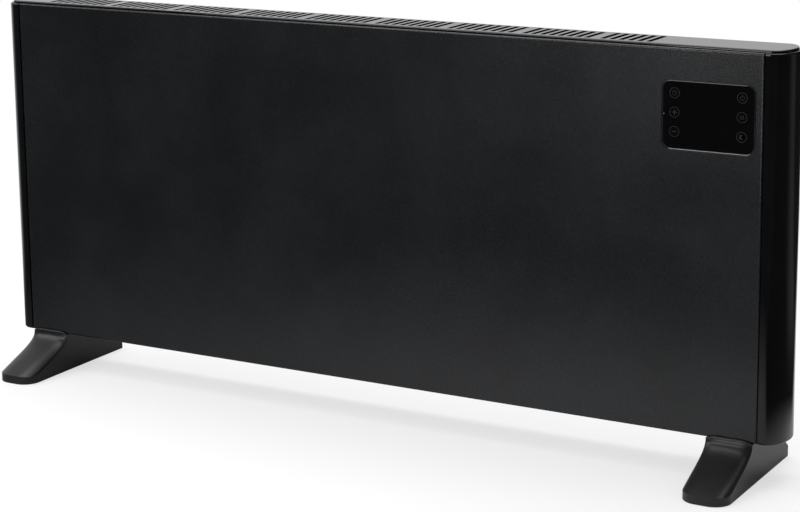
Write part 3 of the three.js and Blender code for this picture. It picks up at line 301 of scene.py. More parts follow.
@dataclass(frozen=True)
class PowderCoat(Finish):
    """Fine textured powder coat: an orange peel with a sparse sparkle."""

    peel: float = 780.0
    speckle: float = 2300.0
    cloud: float = 7.0
    sparkle: Point = (0.56, 0.72)
    clouding: Point = (0.35, 0.7)
    lightening: Point = (2.3, 0.002)
    cloud_share: float = 0.35
    sparkle_share: float = 0.5
    peel_haze: float = 0.22
    cloud_haze: float = 0.08
    peel_height: float = 0.7
    speckle_height: float = 0.3
    depth: float = 0.00006
    relief: float = 0.8

    def dress(self, graph: Graph, shader: bpy.types.Node) -> None:
        """Feeds colour, roughness and normal.

        Args:
            graph: The material's graph.
            shader: Its Principled node.
        """
        place = graph.place()
        peel = graph.noise(place, self.peel, 2.0)
        speckle = graph.noise(place, self.speckle, 1.0)
        cloud = graph.noise(place, self.cloud, 3.0)
        fleck = speckle.step(*self.sparkle)
        share = cloud.step(*self.clouding) * self.cloud_share + fleck * self.sparkle_share
        tint = graph.blend(share, self.colour, self.tinted(*self.lightening))
        graph.feed(shader.inputs["Base Color"], tint)
        rough = self.roughness + (peel - 0.5) * self.peel_haze + (cloud - 0.5) * self.cloud_haze
        graph.feed(shader.inputs["Roughness"], rough)
        height = peel * self.peel_height + speckle * self.speckle_height
        graph.feed(shader.inputs["Normal"], graph.bump(height, self.depth, self.relief))


@dataclass(frozen=True)
class Moulding(Finish):
    """Moulded plastic: a faint flow waviness, a fine grain and handling haze."""

    grain: float = 1500.0
    cloud: float = 26.0
    flow: float = 60.0
    depth: float = 0.00001
    wave: float = 0.0
    haze: float = 0.05
    clouding: Point = (0.3, 0.8)
    lightening: Point = (1.5, 0.0012)
    cloud_stretch: Place = (1.0, 1.0, 0.35)
    wave_stretch: Place = (1.0, 1.0, 0.12)
    relief: float = 0.7

    def dress(self, graph: Graph, shader: bpy.types.Node) -> None:
        """Feeds colour, roughness and normal.

        Args:
            graph: The material's graph.
            shader: Its Principled node.
        """
        place = graph.place()
        cloud = graph.noise(graph.stretched(place, self.cloud_stretch), self.cloud, 3.0)
        grain = graph.noise(place, self.grain, 2.0)
        light = self.tinted(*self.lightening)
        graph.feed(shader.inputs["Base Color"], graph.blend(cloud.step(*self.clouding), self.colour, light))
        rough = self.roughness + (cloud - 0.5) * self.haze + (grain - 0.5) * self.haze
        graph.feed(shader.inputs["Roughness"], rough)
        height = grain
        if self.wave > 0.0:
            along = graph.stretched(place, self.wave_stretch)
            height = grain + graph.noise(along, self.flow, 1.0) * self.wave
        graph.feed(shader.inputs["Normal"], graph.bump(height, self.depth, self.relief))


@dataclass(frozen=True)
class PrintedGlass(Finish):
    """Glass printed black from behind, with a blacker window over the display."""

    window: Colour = (0.0012, 0.0013, 0.0011)
    centre: Point = (0.4163, 0.389)
    half: Point = (0.0247, 0.0241)
    edge: float = 0.0006
    smear: float = 45.0
    smear_stretch: Place = (1.0, 1.0, 2.0)
    smear_haze: float = 0.03
    depth: float = 0.000004
    relief: float = 0.4

    def dress(self, graph: Graph, shader: bpy.types.Node) -> None:
        """Feeds colour, roughness and normal.

        Args:
            graph: The material's graph.
            shader: Its Principled node.
        """
        place = graph.place()
        x, _, z = graph.parts(place)
        beyond = (abs(x - self.centre[0]) - self.half[0]).at_least(abs(z - self.centre[1]) - self.half[1])
        shade = beyond.step(-self.edge, self.edge)
        graph.feed(shader.inputs["Base Color"], graph.blend(shade, self.window, self.colour))
        smear = graph.noise(graph.stretched(place, self.smear_stretch), self.smear, 3.0)
        graph.feed(shader.inputs["Roughness"], self.roughness + smear * self.smear_haze)
        graph.feed(shader.inputs["Normal"], graph.bump(smear, self.depth, self.relief))


@dataclass(frozen=True)
class Sheet(Finish):
    """Bare or plated metal with rolling lines and spangle."""

    grain: Place = (60.0, 900.0, 900.0)
    cloud: float = 60.0
    contrast: float = 0.35
    haze: float = 0.25
    depth: float = 0.00001
    relief: float = 0.6

    def dress(self, graph: Graph, shader: bpy.types.Node) -> None:
        """Feeds colour, roughness and normal.

        Args:
            graph: The material's graph.
            shader: Its Principled node.
        """
        place = graph.place()
        lines = graph.noise(graph.stretched(place, self.grain), 1.0, 3.0)
        cloud = graph.noise(place, self.cloud, 3.0)
        dark = self.tinted(1.0 - self.contrast)
        graph.feed(shader.inputs["Base Color"], graph.blend(lines * 0.5 + cloud * 0.5, dark, self.colour))
        graph.feed(shader.inputs["Roughness"], self.roughness + (lines - 0.5) * self.haze)
        graph.feed(shader.inputs["Normal"], graph.bump(lines, self.depth, self.relief))


@dataclass(frozen=True)
class Print(Finish):
    """Screen printed ink, a little uneven."""

    grain: float = 900.0
    darkening: float = 0.75
    haze: float = 0.1

    def dress(self, graph: Graph, shader: bpy.types.Node) -> None:
        """Feeds colour and roughness.

        Args:
            graph: The material's graph.
            shader: Its Principled node.
        """
        ink = graph.noise(graph.place(), self.grain, 2.0)
        tint = graph.blend(ink, self.tinted(self.darkening), self.colour)
        graph.feed(shader.inputs["Base Color"], tint)
        graph.feed(shader.inputs["Roughness"], self.roughness + (ink - 0.5) * self.haze)


@dataclass(frozen=True)
class Laminate(Finish):
    """Circuit board: green mask over copper tracks that run straight."""

    pitch: float = 0.0032
    gap: float = 0.0004
    run: int = 6
    lightening: float = 1.8
    haze: float = 0.1
    depth: float = 0.00003
    relief: float = 0.5

    def dress(self, graph: Graph, shader: bpy.types.Node) -> None:
        """Feeds colour, roughness and normal.

        Args:
            graph: The material's graph.
            shader: Its Principled node.
        """
        sizes = {"Scale": 1.0, "Mortar Size": self.gap}
        sizes |= {"Brick Width": self.run * self.pitch, "Row Height": self.pitch}
        tracks = graph.node("ShaderNodeTexBrick", {"offset": 0.5}, {"Vector": graph.place(), **sizes})
        mask = Number(graph, tracks.outputs["Fac"])
        tint = graph.blend(mask, self.colour, self.tinted(self.lightening))
        graph.feed(shader.inputs["Base Color"], tint)
        graph.feed(shader.inputs["Roughness"], self.roughness + mask * self.haze)
        graph.feed(shader.inputs["Normal"], graph.bump(mask, self.depth, self.relief))


class Finishes(Enum):
    """Every finish on the heater."""

    POWDER_COAT = PowderCoat("powder_coat", (0.005, 0.0056, 0.0068), 0.27, 0.46)
    GLOSS_PLASTIC = Moulding(
        "gloss_plastic", (0.0014, 0.0015, 0.0018), 0.07, 0.42, depth=0.000003, wave=14.0, haze=0.02
    )
    SATIN_PLASTIC = Moulding(
        "satin_plastic", (0.005, 0.005, 0.0053), 0.34, 0.45, grain=1300.0, depth=0.00003
    )
    BLACK_GLASS = PrintedGlass("black_glass", (0.0011, 0.0012, 0.0015), 0.03, 0.42)
    # Painted highlight: a grey lighter than the glass and panel, so that the ring round the glass shows as a
    # light line; the lamp adds real highlights on it.
    TRIM = Moulding("trim_plastic", (0.016, 0.0165, 0.018), 0.1, 0.55, depth=0.000003)
    RUBBER = Moulding("rubber", (0.011, 0.011, 0.011), 0.8, 0.2, grain=900.0, depth=0.00005)
    ZINC = Sheet("zinc_steel", (0.52, 0.54, 0.56), 0.42, metallic=1.0)
    STEEL = Sheet("bright_steel", (0.58, 0.58, 0.59), 0.3, metallic=1.0, grain=(400.0, 400.0, 400.0))
    ALUMINIUM = Sheet("aluminium", (0.74, 0.75, 0.76), 0.38, metallic=1.0)
    CERAMIC = Moulding("ceramic", (0.74, 0.7, 0.62), 0.7, 0.4, grain=1200.0, depth=0.00003)
    LAMINATE = Laminate("circuit_board", (0.012, 0.09, 0.035), 0.35)
    PALE_PLASTIC = Moulding("pale_plastic", (0.62, 0.62, 0.58), 0.45, 0.4, grain=1200.0)
    LEGEND = Print("legend", (0.022, 0.023, 0.025), 0.5, 0.2)
    WHITE_LEGEND = Print("white_legend", (0.6, 0.6, 0.6), 0.5, 0.3)
    LAMP = Print("lamp_window", (0.32, 0.34, 0.36), 0.3, 0.4)


# ---------------------------------------------------------------- outlines, in millimetres
def arc(centre: Point, radii: Point, start: float, end: float, count: int) -> list[Point]:
    """Points along an elliptical arc: count stretches between two angles in degrees."""
    turns = [math.radians(start + (end - start) * i / count) for i in range(count + 1)]
    return [(centre[0] + radii[0] * math.cos(t), centre[1] + radii[1] * math.sin(t)) for t in turns]


def rectangle(left: float, low: float, right: float, high: float) -> list[Point]:
    """Corners of a rectangle, anticlockwise."""
    return [(left, low), (right, low), (right, high), (left, high)]


def rounded(size: Point, radius: float, centre: Point = (0.0, 0.0), count: int = 12) -> list[Point]:
    """A rectangle with round corners.

    Args:
        size: Full width and height.
        radius: Corner radius.
        centre: Its middle.
        count: Stretches in each corner.

    Returns:
        The outline, anticlockwise.
    """
    x, y = size[0] / 2 - radius, size[1] / 2 - radius
    points: list[Point] = []
    for i, (sx, sy) in enumerate(((1, -1), (1, 1), (-1, 1), (-1, -1))):
        corner = (centre[0] + sx * x, centre[1] + sy * y)
        points += arc(corner, (radius, radius), 90 * i - 90, 90 * i, count)
    return points


def grown_by(size: Point, margin: float) -> Point:
    """A width and height with a margin added on every side."""
    return size[0] + 2 * margin, size[1] + 2 * margin


def eased_steps(radius: float, count: int) -> list[Point]:
    """A quarter round: pairs of depth below the face and inset from the side, from the face down."""
    turns = [math.radians(90 * i / count) for i in range(count + 1)]
    return [(radius * (1 - math.cos(t)), radius * (1 - math.sin(t))) for t in turns]


def circle(radius: float, centre: Point = (0.0, 0.0), count: int = 48) -> list[Point]:
    """A full circle, anticlockwise, without a double point."""
    return arc(centre, (radius, radius), 0.0, 360.0, count)[:-1]


def cubic(a: Point, b: Point, c: Point, d: Point, count: int = 22) -> list[Point]:
    """Points on a cubic curve.

    Args:
        a: Where it starts.
        b: What it leaves towards.
        c: What it arrives from.
        d: Where it ends.
        count: Number of stretches.

    Returns:
        count + 1 points.
    """
    points = []
    for i in range(count + 1):
        t = i / count
        s = 1 - t
        weights = (s**3, 3 * s * s * t, 3 * s * t * t, t**3)
        points.append(tuple(sum(w * p[k] for w, p in zip(weights, (a, b, c, d))) for k in (0, 1)))
    return points


# ---------------------------------------------------------------- solids, in millimetres
class Axis(Enum):
    """The axis that a prism runs along."""

    X = 0
    Y = 1
    Z = 2

    def lift(self, a: float, b: float, along: float) -> Vector:
        """Puts an outline point in space.

        Args:
            a: First number of the outline.
            b: Second number of the outline.
            along: Place along the axis.

        Returns:
            The point.
        """
        if self is Axis.X:
            return Vector((along, a, b))
        if self is Axis.Y:
            return Vector((a, along, b))
        return Vector((a, b, along))


class Joining(Enum):
    """What a boolean does with its second solid."""

    CUT = "DIFFERENCE"
    ADD = "UNION"


class Solid:
    """A closed mesh in millimetres that can be cut, joined and rounded."""

    AXIS_REACH = 1e-6
    WELD = 1e-5
    CUT_WELD = 1e-4
    FLAT_ANGLE = 0.2

    def __init__(self, mesh: bpy.types.Mesh) -> None:
        """Keeps the mesh."""
        self.mesh = mesh

    @staticmethod
    def _skin(bm: bmesh.types.BMesh, rows: Sequence[Sequence[bmesh.types.BMVert]], count: int) -> None:
        """Closes the space between neighbouring rows of points with faces.

        Args:
            bm: The mesh that gets the faces.
            rows: The rows, each of count points or of one point alone.
            count: Faces round the skin.
        """
        for first, second in zip(rows, rows[1:]):
            for i in range(count):
                j = (i + 1) % count
                lower = [first[i % len(first)], first[j % len(first)]]
                upper = [second[j % len(second)], second[i % len(second)]]
                bm.faces.new(list(dict.fromkeys([*lower, *upper])))

    @classmethod
    def _from(cls, bm: bmesh.types.BMesh) -> "Solid":
        """Turns a bmesh into a solid and frees it.

        Args:
            bm: The bmesh.

        Returns:
            The solid.
        """
        mesh = bpy.data.meshes.new("solid")
        bm.to_mesh(mesh)
        bm.free()
        return cls(mesh)

    @classmethod
    def loft(cls, loops: Sequence[Sequence[Vector]]) -> "Solid":
        """A skin through equal loops, closed by a face at each end.

        Args:
            loops: The loops.

        Returns:
            The solid.
        """
        bm = bmesh.new()
        rows = [[bm.verts.new(point) for point in loop] for loop in loops]
        cls._skin(bm, rows, len(rows[0]))
        bm.faces.new(list(reversed(rows[0])))
        bm.faces.new(rows[-1])
        bmesh.ops.remove_doubles(bm, verts=bm.verts, dist=cls.WELD)
        bmesh.ops.recalc_face_normals(bm, faces=bm.faces)
        return cls._from(bm)

    @classmethod
    def hoop(cls, loops: Sequence[Sequence[Vector]]) -> "Solid":
        """A skin through equal loops, from the last of which it returns to the first.

        Args:
            loops: The loops.

        Returns:
            The solid.
        """
        bm = bmesh.new()
        rows = [[bm.verts.new(point) for point in loop] for loop in loops]
        cls._skin(bm, [*rows, rows[0]], len(rows[0]))
        bmesh.ops.recalc_face_normals(bm, faces=bm.faces)
        return cls._from(bm)

    @classmethod
    def prism(cls, axis: Axis, outline: Sequence[Point], low: float, high: float) -> "Solid":
        """An outline carried along an axis, from low to high."""
        return cls.loft([[axis.lift(a, b, z) for a, b in outline] for z in (low, high)])

    @classmethod
    def box(cls, low: Sequence[float], high: Sequence[float]) -> "Solid":
        """A box between two corners."""
        return cls.prism(Axis.Z, rectangle(low[0], low[1], high[0], high[1]), low[2], high[2])

    @classmethod
    def turned(
        cls, axis: Axis, profile: Sequence[Point], centre: Point = (0.0, 0.0), count: int = 48
    ) -> "Solid":
        """A profile of (radius, place) points turned about an axis.

        Args:
            axis: The axis.
            profile: An open profile that starts and ends on the axis, or a closed ring's profile.
            centre: Where the axis passes.
            count: Steps round it.

        Returns:
            The solid.
        """
        bm = bmesh.new()
        rings = []
        for radius, along in profile:
            ring = circle(radius, centre, count) if radius > cls.AXIS_REACH else [centre]
            rings.append([bm.verts.new(axis.lift(a, b, along)) for a, b in ring])
        if profile[0][0] > cls.AXIS_REACH:
            rings.append(rings[0])
        cls._skin(bm, rings, count)
        bmesh.ops.recalc_face_normals(bm, faces=bm.faces)
        return cls._from(bm)

    @classmethod
    def together(cls, solids: Iterable["Solid"]) -> "Solid":
        """Several solids that stand apart, as one mesh.

        Args:
            solids: The solids.

        Returns:
            One solid that holds them all.
        """
        bm = bmesh.new()
        for solid in solids:
            bm.from_mesh(solid.mesh)
        return cls._from(bm)

    def _modified(self, kind: str, **settings: object) -> "Solid":
        """Applies one modifier.

        Args:
            kind: The modifier's type.
            settings: Its properties.

        Returns:
            The changed solid.
        """
        holder = bpy.data.objects.new("holder", self.mesh)
        bpy.context.scene.collection.objects.link(holder)
        modifier = holder.modifiers.new("step", kind)
        for name, value in settings.items():
            setattr(modifier, name, value)
        bpy.context.view_layer.update()
        graph = bpy.context.evaluated_depsgraph_get()
        made = bpy.data.meshes.new_from_object(holder.evaluated_get(graph))
        bpy.data.objects.remove(holder)
        return Solid(made)

    def _boolean(self, joining: Joining, tool: "Solid") -> "Solid":
        """Applies one exact boolean.

        Args:
            joining: What to do with the other solid.
            tool: The other solid.

        Returns:
            The result.
        """
        other = bpy.data.objects.new("tool", tool.mesh)
        bpy.context.scene.collection.objects.link(other)
        made = self._modified("BOOLEAN", operation=joining.value, object=other, solver="EXACT")
        bpy.data.objects.remove(other)
        return made

    def minus(self, *tools: "Solid") -> "Solid":
        """Cuts tools away, one after another.

        Args:
            tools: What is cut away.

        Returns:
            What is left.
        """
        left = self
        for tool in tools:
            left = left._boolean(Joining.CUT, tool)
        return left

    def plus(self, *others: "Solid") -> "Solid":
        """Joins other solids on, one after another.

        Args:
            others: What is joined on.

        Returns:
            The whole.
        """
        total = self
        for other in others:
            total = total._boolean(Joining.ADD, other)
        return total

    def eased(self, width: float, angle: float = 40.0, segments: int = 2) -> "Solid":
        """Rounds every edge that is sharper than an angle.

        Args:
            width: Size of the rounding.
            angle: Smallest turn in degrees that is rounded.
            segments: Steps across it.

        Returns:
            The rounded solid.
        """
        bm = bmesh.new()
        bm.from_mesh(self.mesh)
        bmesh.ops.remove_doubles(bm, verts=bm.verts, dist=self.CUT_WELD)
        flat = math.radians(self.FLAT_ANGLE)
        bmesh.ops.dissolve_limit(bm, angle_limit=flat, verts=bm.verts, edges=bm.edges)
        clean = Solid._from(bm)
        return clean._modified(
            "BEVEL",
            width=width,
            segments=segments,
            limit_method="ANGLE",
            angle_limit=math.radians(angle),
            use_clamp_overlap=True,
            miter_outer="MITER_SHARP",
        )

    def moved(self, matrix: Matrix) -> "Solid":
        """The same solid elsewhere.

        Args:
            matrix: The move, which may be a mirror image.

        Returns:
            The moved copy.
        """
        copy = self.mesh.copy()
        copy.transform(matrix)
        if matrix.determinant() < 0:
            copy.flip_normals()
        return Solid(copy)


# ---------------------------------------------------------------- pieces
class Side(Enum):
    """The two ends of the heater, with their sign along x."""

    LEFT = -1
    RIGHT = 1

    @property
    def label(self) -> str:
        """Its name as the pieces have it."""
        return self.name.lower()


@dataclass
class Workshop:
    """Turns solids into named pieces that ride on the model's bodies."""

    made: list[str] = field(default_factory=list)
    evenness: int = 60

    def piece(
        self,
        name: str,
        solid: Solid,
        finish: Finishes,
        slot: str,
        origin: Vector = CASING_ORIGIN,
        body: str = "casing",
        replaces: Sequence[str] = (),
        crease: float = 32.0,
    ) -> None:
        """Makes one piece.

        Args:
            name: The piece's name.
            solid: Its shape, in millimetres.
            finish: Its finish.
            slot: A material slot's name; not used.
            origin: Where the solid's frame stands, in millimetres.
            body: The body that it rides on.
            replaces: The nodes that it stands for.
            crease: Turn in degrees above which an edge stays sharp.
        """
        mesh = solid.mesh.copy()
        mesh.name = name
        mesh.transform(Matrix.Scale(MM, 4) @ Matrix.Translation(origin))
        mesh.materials.clear()
        mesh.materials.append(finish.value.material())
        mesh.shade_smooth()
        mesh.set_sharp_from_angle(angle=math.radians(crease))
        thing = bpy.data.objects.new(name, mesh)
        bpy.context.scene.collection.objects.link(thing)
        even = thing.modifiers.new("even", "WEIGHTED_NORMAL")
        even.keep_sharp = True
        even.weight = self.evenness
        bpy.context.view_layer.update()
        graph = bpy.context.evaluated_depsgraph_get()
        thing.data = bpy.data.meshes.new_from_object(thing.evaluated_get(graph))
        thing.data.name = name
        thing.modifiers.clear()
        if replaces:
            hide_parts(*replaces)
        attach(thing, body)
        self.made.append(name)
        LOG.info("%s: %d faces on %s", name, len(thing.data.polygons), body)

    def dress(self, node: str, finish: Finishes) -> None:
        """Gives a carried-over node its finish.

        Args:
            node: The node.
            finish: Its finish.
        """
        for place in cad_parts[node].material_slots:
            place.material = finish.value.material()
        LOG.info("%s: dressed with %s", node, finish.value.name)


@dataclass(frozen=True)
class PanHeadScrew:
    """A pan head screw along +z with a cross recess and a rolled thread. Frame: the face under its head."""

    length: float
    head: float = 3.8
    head_height: float = 2.4
    head_rim: float = 0.8
    shank: float = 2.0
    first_turn: float = 1.0
    pitch: float = 0.7
    thread: float = 0.35
    run_out: float = 0.5
    recess: Point = (2.1, 0.42)
    recess_depth: float = 1.2

    def solid(self) -> Solid:
        """The screw.

        Returns:
            Its solid.
        """
        dome = []
        for angle in range(0, 90, 15):
            turn = math.radians(angle)
            level = self.head_rim + (self.head_height - self.head_rim) * math.sin(turn)
            dome.append((self.head * math.cos(turn), -level))
        profile = [(0.0, -self.head_height), *reversed(dome), (self.head, 0.0), (self.shank, 0.0)]
        z = self.first_turn
        while z < self.length - self.shank - self.run_out:
            profile += [(self.shank, z), (self.shank - self.thread, z + self.thread)]
            z += self.pitch
        profile += [(self.shank, self.length - self.shank), (0.0, self.length)]
        blade, width = self.recess
        low, floor = -self.head_height - SPARE, -self.head_height + self.recess_depth
        return Solid.turned(Axis.Z, profile, count=28).minus(
            Solid.box((-blade, -width, low), (blade, width, floor)),
            Solid.box((-width, -blade, low), (width, blade, floor)),
        )


# ---------------------------------------------------------------- casing
@dataclass(frozen=True)
class Opening:
    """The front panel's opening for the control glass, in the casing's frame."""

    centre: Point = (417.95, 340.5)
    size: Point = (102.5, 74.0)
    corner: float = 10.5
    groove: float = 1.5


@dataclass(frozen=True)
class RearLayout:
    """Places and sizes of what stands in the rear face, in the casing's frame."""

    switch: Point = (437.5, 60.0)
    switch_size: Point = (15.0, 21.0)
    gland: Point = (399.5, 22.0)
    gland_radius: float = 7.0
    screw_x: float = 471.5
    screw_levels: Point = (34.0, 376.0)
    keyhole: Point = (300.0, 336.0)


@dataclass
class Casing:
    """Folded panels, moulded ends and outlet grille. Frame: y from the front face, z from the lower edge."""

    shop: Workshop
    opening: Opening = Opening()
    rear: RearLayout = RearLayout()
    width: float = 955.0
    height: float = 410.0
    depth: float = CASING_DEPTH
    sheet: float = 1.0
    roll: float = 2.2
    top_fold: float = 8.0
    bottom_fold: float = 14.0
    side_fold: float = 5.0
    cut_edge: float = 0.35
    seam_gap: float = 0.9
    vent_size: Point = (6.0, 44.0)
    vent_corner: float = 0.6
    vent_pitch: float = 22.0
    vent_count: int = 34
    vent_start: float = -427.5
    vent_rows: Point = (22.0, 88.0)
    cap_flat: float = 5.0
    cap_bulge: float = 21.0
    cap_wall: float = 2.8
    cap_rim: float = 8.0
    cap_roll: float = 2.2
    tongue: float = 2.0
    tongue_reach: float = 12.0
    tongue_inset: float = 14.0
    housing_margin: float = 3.3
    plate: float = 2.5
    plate_inset: float = 3.5
    plate_roll: Point = (0.4, 1.9)
    outlet_size: Point = (6.2, 44.0)
    outlet_corner: float = 0.5
    outlet_pitch: float = 10.45
    outlet_start: float = -435.0
    outlet_end: float = 355.5
    group_count: int = 8
    group_pitch: float = 91.2
    skirt: float = 1.5
    skirt_drop: float = 7.0
    skirt_inset: float = 12.3
    rib: float = 1.5

    @property
    def seam(self) -> float:
        """Half of the panels' width."""
        return self.width / 2

    def tray(self) -> Solid:
        """A folded sheet tray whose face is at y = 0.

        Returns:
            The tray.
        """
        outer = self._rolled(0.0, self.roll, self.bottom_fold + self.roll)
        inner = self._rolled(self.sheet, self.roll - self.sheet, self.bottom_fold + 2 * self.roll)
        side, corner = self.seam + SPARE, self.bottom_fold - self.sheet
        beyond = self.bottom_fold + 3 * self.roll
        return outer.minus(
            inner,
            Solid.box((-side, self.bottom_fold, -SPARE), (side, beyond, corner)),
            Solid.box((-side, self.side_fold, self.roll), (side, beyond, self.height - self.top_fold)),
            Solid.box((-side, self.top_fold, corner), (side, beyond, self.height + SPARE)),
        )

    def _rolled(self, inset: float, radius: float, reach: float) -> Solid:
        """A block with a rolled front edge.

        Args:
            inset: How far it is shrunk on every side.
            radius: Radius of the roll.
            reach: Where it ends in y.

        Returns:
            The block.
        """
        loops = []
        for depth, shrink in eased_steps(radius, 8):
            shrink += inset
            x, low, high = self.seam - shrink, shrink, self.height - shrink
            loops.append([Vector((a, inset + depth, b)) for a, b in rectangle(-x, low, x, high)])
        loops.append([Vector((p.x, reach, p.z)) for p in loops[-1]])
        return Solid.loft(loops)

    def front_panel(self) -> None:
        """The front tray with the opening for the control glass."""
        opening, loops = self.opening, []
        for y, grown in [(-SPARE, self.cut_edge), *eased_steps(self.cut_edge, 5), (self.sheet + SPARE, 0.0)]:
            outline = rounded(grown_by(opening.size, grown), opening.corner + grown, opening.centre, 14)
            loops.append([Vector((a, y, b)) for a, b in outline])
        panel = self.tray().minus(Solid.loft(loops))
        self.shop.piece(
            "front_panel_skin", panel, Finishes.POWDER_COAT, "powder_coat", replaces=["front_panel"]
        )

    def rear_panel(self) -> None:
        """The rear tray with its vents, keyholes and fittings' holes."""
        rear = self.rear
        turned = Matrix.Translation((0, self.depth, 0)) @ Matrix.Rotation(math.pi, 4, "Z")
        x, z = rear.keyhole
        tools = [*self._vents(), *(self._keyhole(side.value * x, z) for side in Side)]
        tools.append(self._hole(rounded(grown_by(rear.switch_size, CLEARANCE), 1.0, rear.switch, 4)))
        tools.append(self._hole(circle(rear.gland_radius + CLEARANCE, rear.gland)))
        for side in Side:
            for level in rear.screw_levels:
                outline = circle(PanHeadScrew.shank + CLEARANCE, (side.value * rear.screw_x, level), 24)
                tools.append(self._hole(outline))
        panel = self.tray().moved(turned).minus(Solid.together(tools))
        self.shop.piece(
            "rear_panel_skin", panel, Finishes.POWDER_COAT, "powder_coat", replaces=["rear_panel"]
        )

    def _hole(self, outline: Sequence[Point]) -> Solid:
        """A cutter that passes through the rear sheet."""
        return Solid.prism(Axis.Y, outline, self.depth - self.sheet - SPARE, self.depth + SPARE)

    def _vents(self) -> list[Solid]:
        """Cutters for two rows of upright intake slots with round ends.

        Returns:
            One cutter for each slot.
        """
        cutters = []
        for low in self.vent_rows:
            for i in range(self.vent_count):
                centre = (self.vent_start + (i + 0.5) * self.vent_pitch, low + self.vent_size[1] / 2)
                cutters.append(self._hole(rounded(self.vent_size, self.vent_corner, centre, 2)))
        return cutters

    def _keyhole(
        self, x: float, z: float, bore: float = 5.5, neck: float = 2.75, rise: float = 12.0
    ) -> Solid:
        """A cutter for one wall keyhole.

        Args:
            x: Middle of its round end.
            z: Height of its round end.
            bore: Radius of the round end.
            neck: Half width of the narrow end.
            rise: How far the narrow end stands above the round one.

        Returns:
            The cutter.
        """
        shoulder = math.degrees(math.asin(neck / bore))
        outline = arc((x, z), (bore, bore), 90 + shoulder, 450 - shoulder, 24)
        outline += arc((x, z + rise), (neck, neck), 0, 180, 12)
        return self._hole(outline)

    def _end(self, inset: float, start: float, count: int = 64) -> list[Point]:
        """Outline of one end, seen from above, at the right-hand side.

        Args:
            inset: How far it is shrunk.
            start: Where it begins, outwards from the seam.
            count: Steps round the curve.

        Returns:
            The outline.
        """
        middle = self.depth / 2
        curve = arc((self.cap_flat, middle), (self.cap_bulge - inset, middle - inset), -90, 90, count)
        points = [(start, inset), *curve, (start, self.depth - inset)]
        return [(self.seam + a, b) for a, b in points]

    def end_cap(self, side: Side) -> None:
        """One moulded end: a curved shell with a floor, a rim and tongues.

        Args:
            side: Which end.
        """
        levels = eased_steps(self.cap_roll, 6)
        upper = [(self.height - z, inset) for z, inset in levels]
        loops = [
            [Vector((x, y, z)) for x, y in self._end(inset, self.seam_gap)]
            for z, inset in [*levels, *reversed(upper)]
        ]
        wall, rim, high = self.cap_wall, self.cap_rim, self.height
        back = self.seam_gap + wall
        shell = Solid.loft(loops).minus(
            Solid.prism(Axis.Z, self._end(wall, back), wall, high - wall),
            Solid.prism(Axis.Z, self._end(rim, back - SPARE), high / 2, high + SPARE),
            Solid.box((self.seam, rim, wall), (self.seam + back + SPARE, self.depth - rim, high + SPARE)),
        )
        near = self.side_fold + CLEARANCE
        far, low = self.depth - near, self.tongue_inset
        below = self.opening.centre[1] - self.opening.size[1] / 2 - self.housing_margin
        start, end = self.seam - self.tongue_reach, self.seam + back - SPARE
        shell = shell.plus(
            Solid.box((start, near, low), (end, near + self.tongue, below)),
            Solid.box((start, far - self.tongue, low), (end, far, high - low)),
        )
        if side is Side.LEFT:
            shell = shell.moved(Matrix.Scale(-1, 4, (1, 0, 0)))
        name = f"{side.label}_end_cap"
        self.shop.piece(f"{name}_shell", shell, Finishes.GLOSS_PLASTIC, "gloss_plastic", replaces=[name])

    def outlet_slots(self) -> list[float]:
        """Middles of the outlet slots along the grille.

        Returns:
            Their places in x.
        """
        places = []
        start = self.outlet_start
        while start < self.outlet_end:
            group = [start + i * self.outlet_pitch for i in range(self.group_count)]
            places += [x for x in group if x + self.outlet_size[0] < self.outlet_end]
            start += self.group_pitch
        return places

    def cross_ribs(self) -> list[float]:
        """Middles of the cross ribs under the gaps between slot groups.

        Returns:
            Their places in x.
        """
        first = self.outlet_start + ((self.group_count - 1) * self.outlet_pitch + self.group_pitch) / 2
        groups = math.ceil((self.outlet_end - self.outlet_start) / self.group_pitch)
        return [first + i * self.group_pitch for i in range(groups - 1)]

    def top_grille(self) -> None:
        """The outlet grille: a gloss plate with slots, a skirt and cross ribs."""
        low = self.height + CLEARANCE
        high = low + self.plate
        middle, half = self.depth / 2, self.depth / 2 - self.plate_inset
        straight = self.seam + self.cap_flat
        reach = self.cap_bulge - self.plate_inset
        below, above = (eased_steps(radius, 6) for radius in self.plate_roll)
        rows = [(low + z, inset) for z, inset in below]
        rows += [(high - z, inset) for z, inset in reversed(above)]
        loops = []
        for z, inset in rows:
            right = arc((straight, middle), (reach - inset, half - inset), -90, 90, 56)
            left = arc((-straight, middle), (reach - inset, half - inset), 90, 270, 56)
            loops.append([Vector((x, y, z)) for x, y in [*right, *left]])
        deep, top = low - self.skirt_drop, low + SPARE
        slots = []
        for x in self.outlet_slots():
            outline = rounded(self.outlet_size, self.outlet_corner, (x, middle), 2)
            slots.append(Solid.prism(Axis.Z, outline, deep - 2 * SPARE, high + SPARE))
        front, rear = self.top_fold + CLEARANCE, self.depth - self.top_fold - CLEARANCE
        end = self.seam - self.skirt_inset
        plate = Solid.loft(loops).plus(
            Solid.box((-end, front, deep), (end, front + self.skirt, top)),
            Solid.box((-end, rear - self.skirt, deep), (end, rear, top)),
        )
        ribs = []
        for x in self.cross_ribs():
            left, right = x - self.rib / 2, x + self.rib / 2
            ribs.append(Solid.box((left, front + SPARE, deep), (right, rear - SPARE, top)))
        plate = plate.plus(Solid.together(ribs)).minus(Solid.together(slots))
        self.shop.piece(
            "top_grille_plate", plate, Finishes.GLOSS_PLASTIC, "gloss_plastic", replaces=["top_grille"]
        )

    def build(self) -> None:
        """Makes and dresses the casing."""
        self.front_panel()
        self.rear_panel()
        for side in Side:
            self.end_cap(side)
        self.top_grille()
        self.shop.dress("intake_grille", Finishes.POWDER_COAT)
        for node in ("partition_plate", "left_hanger_plate", "right_hanger_plate"):
            self.shop.dress(node, Finishes.ZINC)


